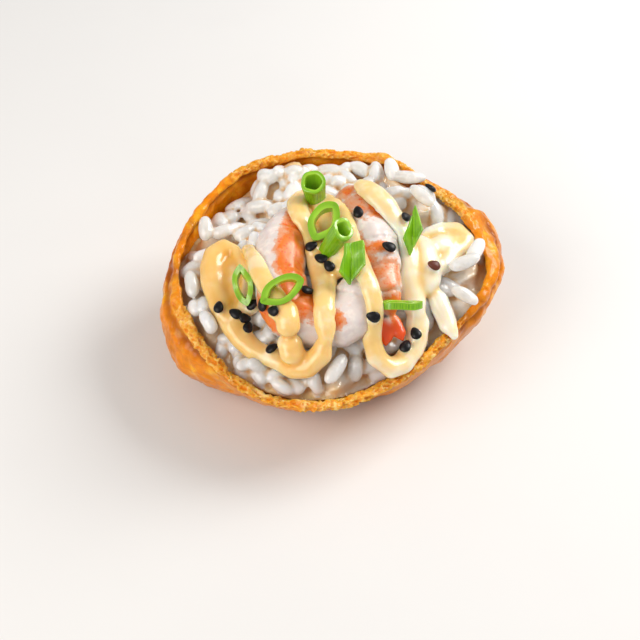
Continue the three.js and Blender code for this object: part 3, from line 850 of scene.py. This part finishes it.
class INARI_OT_rice(Operator):
    """Model the heap of rice: a core with separate grains dropped over it"""

    bl_idname = "inari.rice"
    bl_label = "Rice"

    def execute(self, context):
        look = context.scene.inari_rice
        material = moist_rice(look)
        core = copy_of_node("rice", "rice_core")
        remesh(core, CORE_MESH, 12)
        top = surface([core])
        self.sink_core(core, look.depth / MM)
        grains, tones = self.drop_grains(look, top, surface([core]))
        self.stick(grains, core, look, tones)
        dress(grains, material, "rice", "rice")
        return {"FINISHED"}

    def stick(self, grains, core, look, tones):
        """Makes the grains and their core one body, as moist grains cling, and marks tones and the painted
        shade in the gaps and on the core by the skin.
        """
        loose = surface([grains])
        each = len(grains.data.polygons) // len(tones)  # faces of one grain
        join_to(grains, [core])
        remesh(grains, look.voxel, 1)
        self.thin_underside(grains)
        tone = []
        for vertex in grains.data.vertices:
            _, _, face, distance = loose.find_nearest(vertex.co)
            tone.append(tones[face // each] if distance < CLING_MM * MM else BED_TONE)
        # Painted shade for the gaps, where the surface lies under its own smoothed form, and for the core
        # near the skin.
        gap = np.clip(0.15 - stands_out(grains, 40) / 0.3, 0, 1)
        out = np.linalg.norm(places(grains.data)[:, :2] / HALF_MOUTH_MM, axis=1)
        by_skin_shade = smoothstep(0.8, 0.96, out)
        mark(grains.data, tone=tone, gap=np.maximum(gap, by_skin_shade * (np.array(tone) < 0)))

    def thin_underside(self, rice):
        """Leaves fewer faces on the rice's smooth sides and underside, against the skin."""
        facing_down = directions(rice.data)[:, 2] < -0.2
        select_vertices(rice, facing_down & (places(rice.data)[:, 2] < HIDDEN_BELOW_MM))
        bpy.ops.mesh.decimate(ratio=0.2)
        bpy.ops.object.mode_set(mode="OBJECT")

    def sink_core(self, core, depth):
        """Lowers the core's top under its grains, less at the bank, and swells its sides to the skin."""
        co = places(core.data)
        facing = directions(core.data)
        upper = smoothstep(0.1, 0.6, facing[:, 2]) * smoothstep(8, 14, co[:, 2])
        co[:, :2] += 0.9 * facing[:, :2] * (1 - upper)[:, None]
        co[:, 2] += upper * (banked(co[:, 0], co[:, 1]) - depth)
        put_back(core.data, co)
        relax(core, 6)

    def grain(self):
        """One grain of unit length, width and height, with blunt ends and a slight bow."""
        grain = unit_ball_along_x(12, 8)
        co = places(grain.data)
        fullness = 1 + 0.28 * np.abs(2 * co[:, 0]) ** 3 - 0.1 * co[:, 0]
        co[:, 1:] *= fullness[:, None]
        co[:, 1] += 0.22 * co[:, 0] ** 2
        put_back(grain.data, co)
        return grain

    def drop_grains(self, look, top, bed):
        """Lays grains on the bed until the heap reaches its own outline."""
        draw = random.Random(SEED)
        heap = Heap(bed)
        goal = Heap(top)
        goal.height += banked(*np.meshgrid(goal.line, goal.line, indexing="ij"))
        toppings = surface([frame["nodes"][n] for n in ("prawn_left", "prawn_right", "mayo")])
        skin = surface([frame["nodes"]["pouch"]])
        usual = np.array([look.length, look.width, look.height]) / MM
        matrices = []
        tones = []

        def is_free(place, size):
            """Whether a place on a grain's middle line is clear of the skin and the toppings."""
            if skin.find_nearest(place * MM)[3] < SKIN_ROOM * size[2] * MM:
                return False
            _, normal, _, distance = toppings.ray_cast(place * MM, Vector((0, 0, 1)))
            if normal is not None and (normal.z > 0 or distance > COVERED_MM * MM):
                return False
            return toppings.find_nearest(place * MM)[3] > TOPPING_ROOM * size[2] * MM

        def lay(x, y, turn, size, sink=1.0, over=None, tilt=None):
            """Lays a grain where there is room: at rest on the heap, or tilted and `over` its outline."""
            found = rest_on(heap, x, y, turn, size, sink)
            if found is None:
                return
            z, own_tilt, part, under, shape = found
            if over is not None:
                z = goal.at(x, y) + over
                own_tilt = tilt
            elif z + 0.5 * size[2] > goal.at(x, y) + STAND_OVER_MM:
                return
            slope = math.cos(own_tilt)
            ahead = Vector((math.cos(turn) * slope, math.sin(turn) * slope, math.sin(own_tilt)))
            middle = Vector((x, y, z))
            if not all(is_free(middle + ahead * size[0] * share, size) for share in ALONG_GRAIN):
                return
            roll = draw.uniform(-0.6, 0.6)
            turned = Euler((0, 0, turn)).to_matrix() @ Euler((0, -own_tilt, 0)).to_matrix()
            turned = turned @ Euler((roll, 0, 0)).to_matrix() @ Matrix.Diagonal(Vector(size))
            matrices.append(Matrix.Translation(middle) @ turned.to_4x4())
            # Painted shade: the further a grain's top lies under the heap's outline, the lower its tone.
            sunk_shade = max(goal.at(x, y) - z - 0.5 * size[2], 0) / 3  # 1 where its top is 3 mm down
            tones.append(draw.random() ** 2 - sunk_shade)
            heap.height[part] = np.maximum(heap.height[part], np.where(under, z + shape, heap.EMPTY))

        for x, y, over, turn, tilt, long in SHOWN_GRAINS_MM:
            size = usual * (long / usual[0], 1.0, 1.0)
            x, y = shifted(x, y)
            lay(x, y, math.radians(turn), size, over=over, tilt=math.radians(tilt))
        for i in range(look.tries):
            x, y = (draw.uniform(-GRAIN_SPREAD_MM, GRAIN_SPREAD_MM) for _ in range(2))
            size = usual * [draw.uniform(0.75, 1.12), draw.uniform(0.88, 1.1), draw.uniform(0.88, 1.1)]
            sink = FIRST_SINK_MM if i < 0.5 * look.tries else LAST_SINK_MM
            lay(x, y, draw.uniform(0, 2 * math.pi), size, sink)
        grains = joined_copies("rice_grains", self.grain(), matrices)
        push_out(grains.data, 0.2 * relief(places(grains.data), 1.7, 15))
        return grains, tones


# ---- Prawns ----


class Spine:
    """A prawn's middle line as a smooth run of points, in millimetres."""

    def __init__(self, stations, count=160):
        points = np.array([(*shifted(x, y), z) for x, y, z in stations], float)
        ends = np.vstack([2 * points[0] - points[1], points, 2 * points[-1] - points[-2]])
        self.points = np.array([self.along(ends, t * (len(points) - 1)) for t in np.linspace(0, 1, count)])
        self.ahead = np.gradient(self.points, axis=0)
        self.ahead /= np.linalg.norm(self.ahead, axis=1)[:, None]

    @staticmethod
    def along(ends, t):
        """The place on the smooth line through the stations that is `t` stations along it."""
        i = min(int(t), len(ends) - 4)
        u = t - i
        a, b, c, d = ends[i : i + 4]
        square = 2 * a - 5 * b + 4 * c - d
        cube = 3 * b - a - 3 * c + d
        return 0.5 * (2 * b + (c - a) * u + square * u**2 + cube * u**3)

    def locate(self, co):
        """For each place: its share along the spine, and its angle round it, 0 outside and 90 on top."""
        nearest = np.array([np.argmin(((self.points - p) ** 2).sum(1)) for p in co])
        off = co - self.points[nearest]
        ahead = self.ahead[nearest]
        side = np.column_stack([ahead[:, 1], -ahead[:, 0], np.zeros(len(co))])
        side /= np.linalg.norm(side, axis=1)[:, None]
        up = np.cross(side, ahead)
        around = np.degrees(np.arctan2((off * up).sum(1), (off * side).sum(1)))
        return nearest / (len(self.points) - 1), around


def cooked_prawn(look):
    """White flesh with orange bands that fade to pink, and fine red specks in the bands."""
    finish = Finish("cooked_prawn", Roughness=0.36, Coat_Weight=0.3, Coat_Roughness=0.15)
    tree = finish.tree
    flesh = finish.mottled(5.0, 1.3, shade_of(look.flesh, 0.95), look.flesh, PALE_FLESH)
    frayed = between(tree, finish.noise(Scale=520.0, Detail=5.0, Roughness=0.6)[0], 0.3, 0.7, -0.24, 0.24)
    band = sums(tree, "ADD", finish.attribute("band"), frayed)
    pinked = mixed(tree, between(tree, band, 0.15, 0.42), flesh, colour(look.pink))
    banded = mixed(tree, between(tree, band, 0.45, 0.85), pinked, colour(look.orange))
    dots = put(tree, "TexVoronoi", {"Vector": finish.where, "Scale": 1100.0}).outputs[0]
    dots = between(tree, dots, 0.2, 0.34, 1.0, 0.0)
    speck = sums(tree, "MULTIPLY", dots, between(tree, band, 0.25, 0.7))
    specked = mixed(tree, sums(tree, "MULTIPLY", speck, 0.7), banded, colour(look.red))
    finish.link(mixed(tree, finish.attribute("tail"), specked, colour(look.red)), "Base Color")
    finish.bump(finish.pores(2.4, 0.45), 0.1 * MM, 0.4)
    finish.subsurface(0.55, (1.0, 0.55, 0.4), 2.0 * MM)
    return finish.material


# Where the cooked bands lie: share along the body, angle round it, reach along and round, and strength.
BANDS_LEFT = [
    (0.12, 130, 0.18, 50, 0.95),
    (0.3, 122, 0.17, 46, 1.0),
    (0.45, 112, 0.12, 45, 1.0),
    (0.55, 105, 0.08, 60, 0.9),
    (0.68, 60, 0.045, 28, 0.7),
    (0.47, 20, 0.08, 34, 0.95),
]
BANDS_RIGHT = [
    (0.05, 60, 0.12, 90, 1.0),
    (0.24, 88, 0.2, 88, 0.52),
    (0.42, 140, 0.14, 26, 0.85),
    (0.43, 88, 0.045, 50, 0.8),
    (0.67, 62, 0.06, 30, 0.9),
    (0.72, 88, 0.12, 80, 0.52),
    (0.92, 110, 0.13, 45, 0.85),
]
PRAWNS = {"left": (PRAWN_LEFT_MM, BANDS_LEFT), "right": (PRAWN_RIGHT_MM, BANDS_RIGHT)}
PRAWN_MESH = 0.45 * MM  # edge of the even mesh that the flesh is worked in
PALE_FLESH = (0.9, 0.81, 0.76)  # its lightest spots


class INARI_OT_prawns(Operator):
    """Model the two curled prawns with their segments and cooked bands"""

    bl_idname = "inari.prawns"
    bl_label = "Prawns"

    def execute(self, context):
        look = context.scene.inari_prawns
        material = cooked_prawn(look)
        for side, (stations, bands) in PRAWNS.items():
            prawn = copy_of_node("prawn_" + side, "prawn_" + side + "_flesh")
            remesh(prawn, PRAWN_MESH, 9)
            self.work_flesh(prawn, look, Spine(stations), bands)
            dress(prawn, material, "prawn", "prawn_" + side)
        return {"FINISHED"}

    def work_flesh(self, prawn, look, spine, bands):
        """Grooves between the segments, soft lumps, and the marks that the material reads."""
        mesh = prawn.data
        co = places(mesh)
        along, around = spine.locate(co)
        part = (along * look.segments) % 1
        nearness = np.minimum(part, 1 - part)
        groove = np.exp(-((nearness / 0.07) ** 2))
        groove *= smoothstep(0.03, 0.1, along)
        groove *= smoothstep(0.0, 0.08, 1 - along)
        lap = 0.35 * (1 - part) ** 2  # each segment laps over the next one
        lumps = relief(co, 5, 11) + 0.2 * relief(co, 1.8, 12)
        push_out(mesh, lap - look.groove / MM * groove + look.lumps / MM * lumps)
        band = np.zeros(len(co))
        for share, angle, reach, spread, strength in bands:
            off = ((along - share) / reach) ** 2 + ((around - angle) / spread) ** 2
            band = np.maximum(band, strength * (1 - smoothstep(0.35, 1.35, np.sqrt(off))))
        fan = smoothstep(1.0, 3.5, np.linalg.norm(co - spine.points[0], axis=1)) * (along < 0.02)
        mark(mesh, band=band, tail=fan)


# ---- Mayonnaise ----


def mayonnaise(look):
    """Glossy, creamy and slightly see-through: amber in its hollows and at its thin edges, partly its own
    colour and partly painted shade, and paler with painted light on its ridges and towards +X.
    """
    finish = Finish("mayonnaise", Roughness=0.26, Coat_Weight=0.6, Coat_Roughness=0.07)
    tree = finish.tree
    dark, light = (blended(look.cream, other, 0.4) for other in (look.yolk, look.pale))
    cream = finish.mottled(11.0, 3.5, dark, look.cream, light)
    ridge = finish.attribute("ridge")
    # Painted highlight: ridges and the parts towards +X turn pale.
    thick = mixed(tree, between(tree, ridge, 0.1, 1.0), cream, colour(look.pale))
    # Painted shade: the hollows turn yolk coloured, partly the thin sauce's own colour.
    thin = mixed(tree, between(tree, ridge, -0.1, -1.0), thick, colour(look.yolk))
    finish.link(thin, "Base Color")
    finish.bump(finish.pores(3.0, 0.35), 0.12 * MM, 0.3)
    finish.subsurface(0.7, (1.0, 0.6, 0.22), 2.4 * MM)
    return finish.material


# Dabs of sauce between the strands: x, y and width.
DABS_MM = [
    (-24.6, 1.8, 4.6),
    (-10.6, -19.0, 4.8),
    (-10.4, -20.5, 5.0),
    (-10.2, -22.0, 5.2),
    (-9.8, -23.6, 5.4),
    (-9.2, -25.2, 5.4),
]
DAB_FLATNESS = 0.7  # height of a dab as a share of its width
DAB_DEPTH = 0.26  # how far its middle lies under the sauce, as a share of its width


class INARI_OT_mayonnaise(Operator):
    """Model the piped strands of mayonnaise, run together where they cross"""

    bl_idname = "inari.mayonnaise"
    bl_label = "Mayonnaise"

    def execute(self, context):
        look = context.scene.inari_mayonnaise
        sauce = copy_of_node("mayo", "mayonnaise_strands")
        self.add_dabs(sauce)
        remesh(sauce, look.voxel, look.rounds)
        co = places(sauce.data)
        sag = 0.22 * relief(co, 5, 21) + 0.1 * relief(co, 2.4, 22)
        push_out(sauce.data, look.swell / MM + sag)
        remesh(sauce, look.voxel, 4)
        self.mark_ridges(sauce)
        dress(sauce, mayonnaise(look), "mayonnaise", "mayo")
        return {"FINISHED"}

    def add_dabs(self, sauce):
        """Fills the thin spots between strands that flow together."""
        ground = surface([sauce])
        dabs = []
        for x, y, across in DABS_MM:
            near = heights_around(ground, x, y, 1.6)
            here = look_down(ground, x, y) or min(z for z in near if z is not None)
            dab = ball(across, 24, 16)
            middle = (x, y, here - DAB_DEPTH * across)
            put_back(dab.data, places(dab.data) * (1, 1, DAB_FLATNESS) + middle)
            dabs.append(dab)
        join_to(sauce, dabs)

    def mark_ridges(self, sauce):
        """Marks painted light where the surface stands over its own smoothed form, painted shade where it
        lies under it, and painted light growing towards +X over the pale broad band.
        """
        co = places(sauce.data)
        x = co[:, 0]
        # Painted light: the broad band towards +X is paler, less so at the front.
        band = smoothstep(4, 17, x) * (0.4 + 0.6 * smoothstep(-24, -8, co[:, 1]))
        side_light = 0.013 * (x + 8) + 0.6 * band - 0.6 * smoothstep(24, 32, x) + 0.25 * relief(co, 9, 23)
        mark(sauce.data, ridge=np.clip((stands_out(sauce, 60) - 0.3) / 0.6 + side_light, -1, 1))


# ---- Spring onion ----

# Rings and tubes cut from a hollow stalk: turns about X, Y and Z in degrees, length and width across, wall,
# thickness, the hole's length as a share of its full one, how pointed the ends are, and how far the upper
# cut is aslant.
RINGS_MM = {
    1: ((6, -6, 0), 5.8, 5.4, 0.9, 7.4, 1.0, 0.0, 0.45),
    2: ((34, 0, 62), 9.8, 7.0, 1.4, 3.2, 0.72, 0.25, 0.12),
    3: ((-13, 30, 0), 5.2, 4.6, 0.9, 8.0, 1.0, 0.0, 0.6),
    5: ((38, 0, 30), 11.4, 5.8, 1.3, 2.6, 0.7, 0.35, 0.1),
    6: ((38, 0, -80), 9.8, 4.6, 1.1, 2.2, 0.6, 0.4, 0.12),
    7: ((-38, 0, 3), 9.0, 4.4, 1.0, 1.6, 0.75, 0.3, 0.0),
}
TUBE_TAPER = 0.25  # how much narrower a long tube is at its lower end

# Scraps of leaf: turns, outline and thickness.
LEAVES_MM = {
    4: ((30, 8, 0), [(-1.4, 4.4), (2.6, 5), (2.8, -0.7), (-0.2, -5), (-2.8, -2.6), (-1.6, 1.8)], 1.5),
    8: ((32, 0, 0), [(0.7, 6), (2.2, -0.3), (-0.6, -6), (-2.2, -2.4), (-1, 0.8)], 1.0),
}


def spring_onion(look):
    """Striped green skin, a paler inside, and cut faces that fade to yellow green."""
    finish = Finish("spring_onion", Roughness=0.24, Coat_Weight=0.45, Coat_Roughness=0.08)
    tree = finish.tree
    inputs = {"W": finish.attribute("stripe"), "Scale": 16.0, "Detail": 3.0}
    stripes = put(tree, "TexNoise", inputs, noise_dimensions="1D").outputs[0]
    stripes = between(tree, stripes, 0.36, 0.66, -0.3, 0.4)
    striped = sums(tree, "MULTIPLY", stripes, finish.attribute("side"))
    skin = mixed(tree, sums(tree, "ADD", striped, 0.5), colour(look.skin), colour(look.bright))
    # The cloud darkens the green here and there; where it is white, it changes nothing.
    cloud = finish.mottled(4.0, 0.9, (0.75, 0.8, 0.7), (0.95, 0.97, 0.95), (1, 1, 1))
    toned = mixed(tree, 1.0, skin, cloud, "MULTIPLY")
    inner = mixed(tree, finish.attribute("inner"), toned, colour(look.cut))
    finish.link(mixed(tree, finish.attribute("cut"), inner, colour(look.cut)), "Base Color")
    finish.bump(finish.pores(0.7, 0.5), 0.06 * MM, 0.6)
    finish.subsurface(0.25, (0.5, 1.0, 0.15), 0.8 * MM)
    return finish.material


class INARI_OT_spring_onion(Operator):
    """Model the rings, tubes and scraps of spring onion"""

    bl_idname = "inari.spring_onion"
    bl_label = "Spring onion"

    def execute(self, context):
        material = spring_onion(context.scene.inari_onion)
        for number, (turn, *cut) in RINGS_MM.items():
            self.place(self.ring(number, *cut), number, turn, material)
        for number, (turn, *cut) in LEAVES_MM.items():
            self.place(self.leaf(number, *cut), number, turn, material)
        return {"FINISHED"}

    def ring(self, number, long, wide, wall, thick, hole, point, slant):
        """A slice of hollow stalk, out of round, with pointed ends and softened cut edges."""
        bpy.ops.object.select_all(action="DESELECT")
        bpy.ops.mesh.primitive_cylinder_add(
            vertices=48, radius=0.5 * MM, depth=thick * MM, end_fill_type="NOTHING"
        )
        ring = name_new(f"onion_slice_{number}")
        bpy.ops.object.mode_set(mode="EDIT")
        bpy.ops.mesh.select_all(action="SELECT")
        bpy.ops.transform.resize(value=(long, wide, 1), center_override=(0, 0, 0))
        bpy.ops.mesh.subdivide(number_cuts=1)
        bpy.ops.object.mode_set(mode="OBJECT")
        # The stalk is out of round, and pointed where it has been pressed flat.
        outer = places(ring.data)
        around = np.arctan2(outer[:, 1] / wide, outer[:, 0] / long)
        wobble = 1 + 0.04 * np.sin(2 * around + number) + 0.025 * np.sin(5 * around + 2 * number)
        outer[:, :2] *= wobble[:, None]
        outer[:, 1] *= 1 - point * np.abs(2 * outer[:, 0] / long) ** 3
        put_back(ring.data, outer)
        finish_with(ring, "SOLIDIFY", thickness=wall * MM, offset=-1.0, use_even_offset=True)
        finish_with(ring, "BEVEL", width=0.16 * MM, segments=2, limit_method="ANGLE")
        finish_with(ring, "SUBSURF", levels=1, render_levels=1)
        # How far inside each vertex lies tells the wall's two sides and its cut faces apart.
        co = places(ring.data)
        around = np.arctan2(co[:, 1] / wide, co[:, 0] / long)
        rim = 1 - point * np.abs(np.clip(2 * co[:, 0] / long, -1, 1)) ** 3
        share = np.hypot(co[:, 0] / (0.5 * long), co[:, 1] / (0.5 * wide * rim))
        hollow = 1 - smoothstep(1 - 2 * wall / wide, 1 - 0.4 * wall / wide, share)
        face = smoothstep(0.5 * thick - 0.3, 0.5 * thick - 0.1, np.abs(co[:, 2]))
        # The hole closes up lower down, a tube tapers, and the cuts are aslant and a little wavy.
        depth = np.clip(0.5 - co[:, 2] / thick, 0, 1)
        co[:, 0] *= 1 - (1 - hole) * hollow * (0.25 + 0.75 * depth)
        co[:, 1] *= 1 - 0.6 * (1 - hole) * hollow * depth
        if thick > wide:
            co[:, :2] *= (1 - TUBE_TAPER * depth)[:, None]
        co[:, 2] += slant * co[:, 1] * (co[:, 2] > 0.3 * thick)
        co[:, 2] += 0.12 * np.sin(3 * around + number)
        put_back(ring.data, co)
        # Painted shade: inside a long tube the wall takes only half the pale cut colour, so it stays
        # darker.
        inner = hollow * (1 - face) * (0.5 if thick > wide else 1.0)
        mark(ring.data, stripe=around, inner=inner, cut=face * (0.2 + 0.8 * hollow), side=1 - face)
        return ring

    def leaf(self, number, outline, thick):
        """A straight-cut scrap of leaf, folded lightly along its middle."""
        bpy.ops.object.select_all(action="DESELECT")
        bpy.ops.mesh.primitive_circle_add(vertices=len(outline), radius=MM, fill_type="NGON")
        leaf = name_new(f"onion_slice_{number}")
        put_back(leaf.data, np.array([(x, y, 0) for x, y in reversed(outline)], float))
        bpy.ops.object.mode_set(mode="EDIT")
        bpy.ops.mesh.select_all(action="SELECT")
        bpy.ops.mesh.poke()
        bpy.ops.mesh.subdivide(number_cuts=7)
        bpy.ops.mesh.normals_make_consistent(inside=False)
        bpy.ops.object.mode_set(mode="OBJECT")
        co = places(leaf.data)
        co[:, 2] += 0.8 * np.abs(co[:, 0]) - 0.035 * co[:, 1] ** 2 + 0.4 * relief(co, 2.6, number)
        put_back(leaf.data, co)
        finish_with(leaf, "SOLIDIFY", thickness=0.55 * thick * MM, offset=0.0)
        finish_with(leaf, "BEVEL", width=0.1 * MM, segments=2, limit_method="ANGLE")
        co = places(leaf.data)
        inner = smoothstep(-0.1, 0.5, relief(co, 3, number + 3)) * 0.5
        mark(leaf.data, stripe=0.3 * co[:, 0], inner=inner, cut=0, side=0.8)
        return leaf

    def place(self, piece, number, turn, material):
        """Turns a slice as it lies and moves it to its CAD node's middle."""
        low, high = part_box(f"scallion_{number}")
        x, y, z = (math.radians(a) for a in turn)
        lean = Euler((x, 0, 0)).to_matrix() @ Euler((0, y, 0)).to_matrix() @ Euler((0, 0, z)).to_matrix()
        co = places(piece.data) @ np.array(lean).T
        middle = np.array((low + high) / 2) / MM
        put_back(piece.data, co + middle - (co.min(0) + co.max(0)) / 2)
        dress(piece, material, "spring_onion", f"scallion_{number}")


# ---- Sesame ----


def sesame(look):
    """Dark shiny seed coats with a fine grain; one is brown."""
    finish = Finish(
        "black_sesame", Roughness=0.34, Specular_IOR_Level=0.25, Coat_Weight=0.06, Coat_Roughness=0.1
    )
    greyed = (0.02, 0.017, 0.02)
    coat = finish.mottled(2.0, 0.5, look.black, shade_of(look.black, 1.5), greyed)
    finish.link(mixed(finish.tree, finish.attribute("tone"), coat, colour(look.brown)), "Base Color")
    finish.bump(finish.pores(0.35, 0.6), 0.07 * MM, 0.7)
    return finish.material


class INARI_OT_sesame(Operator):
    """Model the sesame seeds and lay each on what is under it"""

    bl_idname = "inari.sesame"
    bl_label = "Sesame"

    def execute(self, context):
        look = context.scene.inari_sesame
        names = ("mayonnaise_strands", "prawn_left_flesh", "prawn_right_flesh", "rice_grains")
        ground = surface([bpy.data.objects[n] for n in names])
        size = np.array([look.length, look.width, look.height]) / MM
        draw = random.Random(SEED)
        matrices = []
        for x, y, turn in SEEDS_MM:
            x, y = shifted(x, y)
            z = look_down(ground, x, y)
            lean = self.lean(ground, x, y, z)
            spin = Euler((0, 0, math.radians(turn))).to_matrix()
            grown = Matrix.Diagonal(Vector(size * draw.uniform(0.94, 1.06)))
            middle = Vector((x, y, z)) + lean @ Vector((0, 0, 0.22 * size[2]))
            matrices.append(Matrix.Translation(middle) @ (lean.to_matrix() @ spin @ grown).to_4x4())
        seeds = joined_copies("sesame_seeds", self.seed(), matrices)
        rows = np.repeat(np.arange(len(SEEDS_MM)), len(seeds.data.vertices) // len(SEEDS_MM))
        mark(seeds.data, tone=rows == BROWN_SEED)
        dress(seeds, sesame(look), None)
        return {"FINISHED"}

    def lean(self, ground, x, y, z):
        """How the ground round a place leans, over about a seed's length."""
        reach = 1.1
        heights = heights_around(ground, x, y, reach)
        low, high = z - 2, z + 1  # a seed doesn't follow the ground over an edge
        east, west, north, south = (low if h is None else float(np.clip(h, low, high)) for h in heights)
        slope = Vector(((west - east) / (2 * reach), (south - north) / (2 * reach), 1)).normalized()
        return Vector((0, 0, 1)).rotation_difference(slope)

    def seed(self):
        """One flat drop-shaped seed of unit length, width and height."""
        seed = unit_ball_along_x(20, 14)
        co = places(seed.data)
        taper = np.clip(1.05 - 0.5 * (co[:, 0] + 0.1), 0.6, 1.15)
        co[:, 1] *= taper
        co[:, 2] *= 0.5 + 0.5 * taper
        put_back(seed.data, co)
        return seed


# ---- Stage ----

CAMERA_MM = (-3.05, -238.28, 292.0)  # where the camera stands
CAMERA_AXES = (
    (0.99987, 0.01225, 0.01027),  # the view's right
    (-0.01599, 0.76628, 0.64230),  # its top
    (0.0, -0.64239, 0.76638),  # back towards the camera
)


class INARI_OT_stage(Operator):
    """Set up the floor, the lights and the camera"""

    bl_idname = "inari.stage"
    bl_label = "Stage"

    def execute(self, context):
        look = context.scene.inari_stage
        self.floor(look)
        self.light("key", (0.34, 0.2, 0.34), 0.28, look.key_power, (1.0, 0.98, 0.95))
        self.light("fill", (-0.35, -0.25, 0.35), 0.4, look.fill_power, (1.0, 0.94, 0.87))
        self.sky(context, look)
        self.camera(context, look)
        context.scene.view_settings.view_transform = "Standard"
        return {"FINISHED"}

    def floor(self, look):
        """A plain pale floor, three metres wide, its edges far outside the camera's view."""
        bpy.ops.object.select_all(action="DESELECT")
        bpy.ops.mesh.primitive_grid_add(x_subdivisions=40, y_subdivisions=40, size=3.0)
        floor = name_new("floor")
        finish = Finish("pale_floor", Roughness=0.6)
        dark, light = (shade_of(look.floor, factor) for factor in (0.985, 1.01))
        finish.link(finish.mottled(160.0, 30.0, dark, look.floor, light), "Base Color")
        floor.data.materials.append(finish.material)

    def light(self, name, place, size, power, hue):
        """A square light that faces the middle of the food."""
        bpy.ops.object.light_add(type="AREA", location=place)
        light = bpy.context.object
        light.name = name
        light.data.size = size
        light.data.energy = power
        light.data.color = hue
        light.rotation_mode = "QUATERNION"
        middle = Vector((0, 0, 20)) * MM
        light.rotation_quaternion = (middle - Vector(place)).to_track_quat("-Z", "Y")

    def sky(self, context, look):
        """Even white light from all round."""
        world = bpy.data.worlds.new("soft_sky")
        world.use_nodes = True
        background = world.node_tree.nodes["Background"].inputs
        background["Color"].default_value = (1, 1, 1, 1)
        background["Strength"].default_value = look.sky
        context.scene.world = world

    def camera(self, context, look):
        """The camera, over the low front of the mouth."""
        bpy.ops.object.camera_add()
        camera = context.object
        camera.name = "camera"
        camera.data.lens = look.lens
        camera.data.sensor_width = 36.0
        camera.data.clip_start = 0.01
        turn = Matrix(CAMERA_AXES).transposed().to_4x4()
        camera.matrix_world = Matrix.Translation(Vector(CAMERA_MM) * MM) @ turn
        context.scene.camera = camera


# ---- Add-on ----


class INARI_PT_sushi(Panel):
    """Lists the pieces of the sushi, in the order in which they are made"""

    bl_idname = "INARI_PT_sushi"
    bl_label = "Inari sushi"
    bl_space_type = "VIEW_3D"
    bl_region_type = "UI"
    bl_category = "Inari"

    def draw(self, context):
        for operator in OPERATORS:
            self.layout.operator(operator.bl_idname)


SETTINGS = {
    "inari_pouch": PouchSettings,
    "inari_rice": RiceSettings,
    "inari_prawns": PrawnSettings,
    "inari_mayonnaise": MayonnaiseSettings,
    "inari_onion": OnionSettings,
    "inari_sesame": SesameSettings,
    "inari_stage": StageSettings,
}
OPERATORS = (
    INARI_OT_pouch,
    INARI_OT_rice,
    INARI_OT_prawns,
    INARI_OT_mayonnaise,
    INARI_OT_spring_onion,
    INARI_OT_sesame,
    INARI_OT_stage,
)
CLASSES = (*SETTINGS.values(), *OPERATORS, INARI_PT_sushi)


def register():
    """Makes the pieces' operators, the panel and the settings known."""
    for cls in CLASSES:
        bpy.utils.register_class(cls)
    for name, group in SETTINGS.items():
        setattr(bpy.types.Scene, name, PointerProperty(type=group))


def unregister():
    """Takes away what register() added."""
    for name in SETTINGS:
        delattr(bpy.types.Scene, name)
    for cls in reversed(CLASSES):
        bpy.utils.unregister_class(cls)


def main():
    """Models and dresses the sushi."""
    register()
    bpy.ops.inari.pouch()
    bpy.ops.inari.rice()
    bpy.ops.inari.prawns()
    bpy.ops.inari.mayonnaise()
    bpy.ops.inari.spring_onion()
    bpy.ops.inari.sesame()
    bpy.ops.inari.stage()


if __name__ == "__main__":
    main()
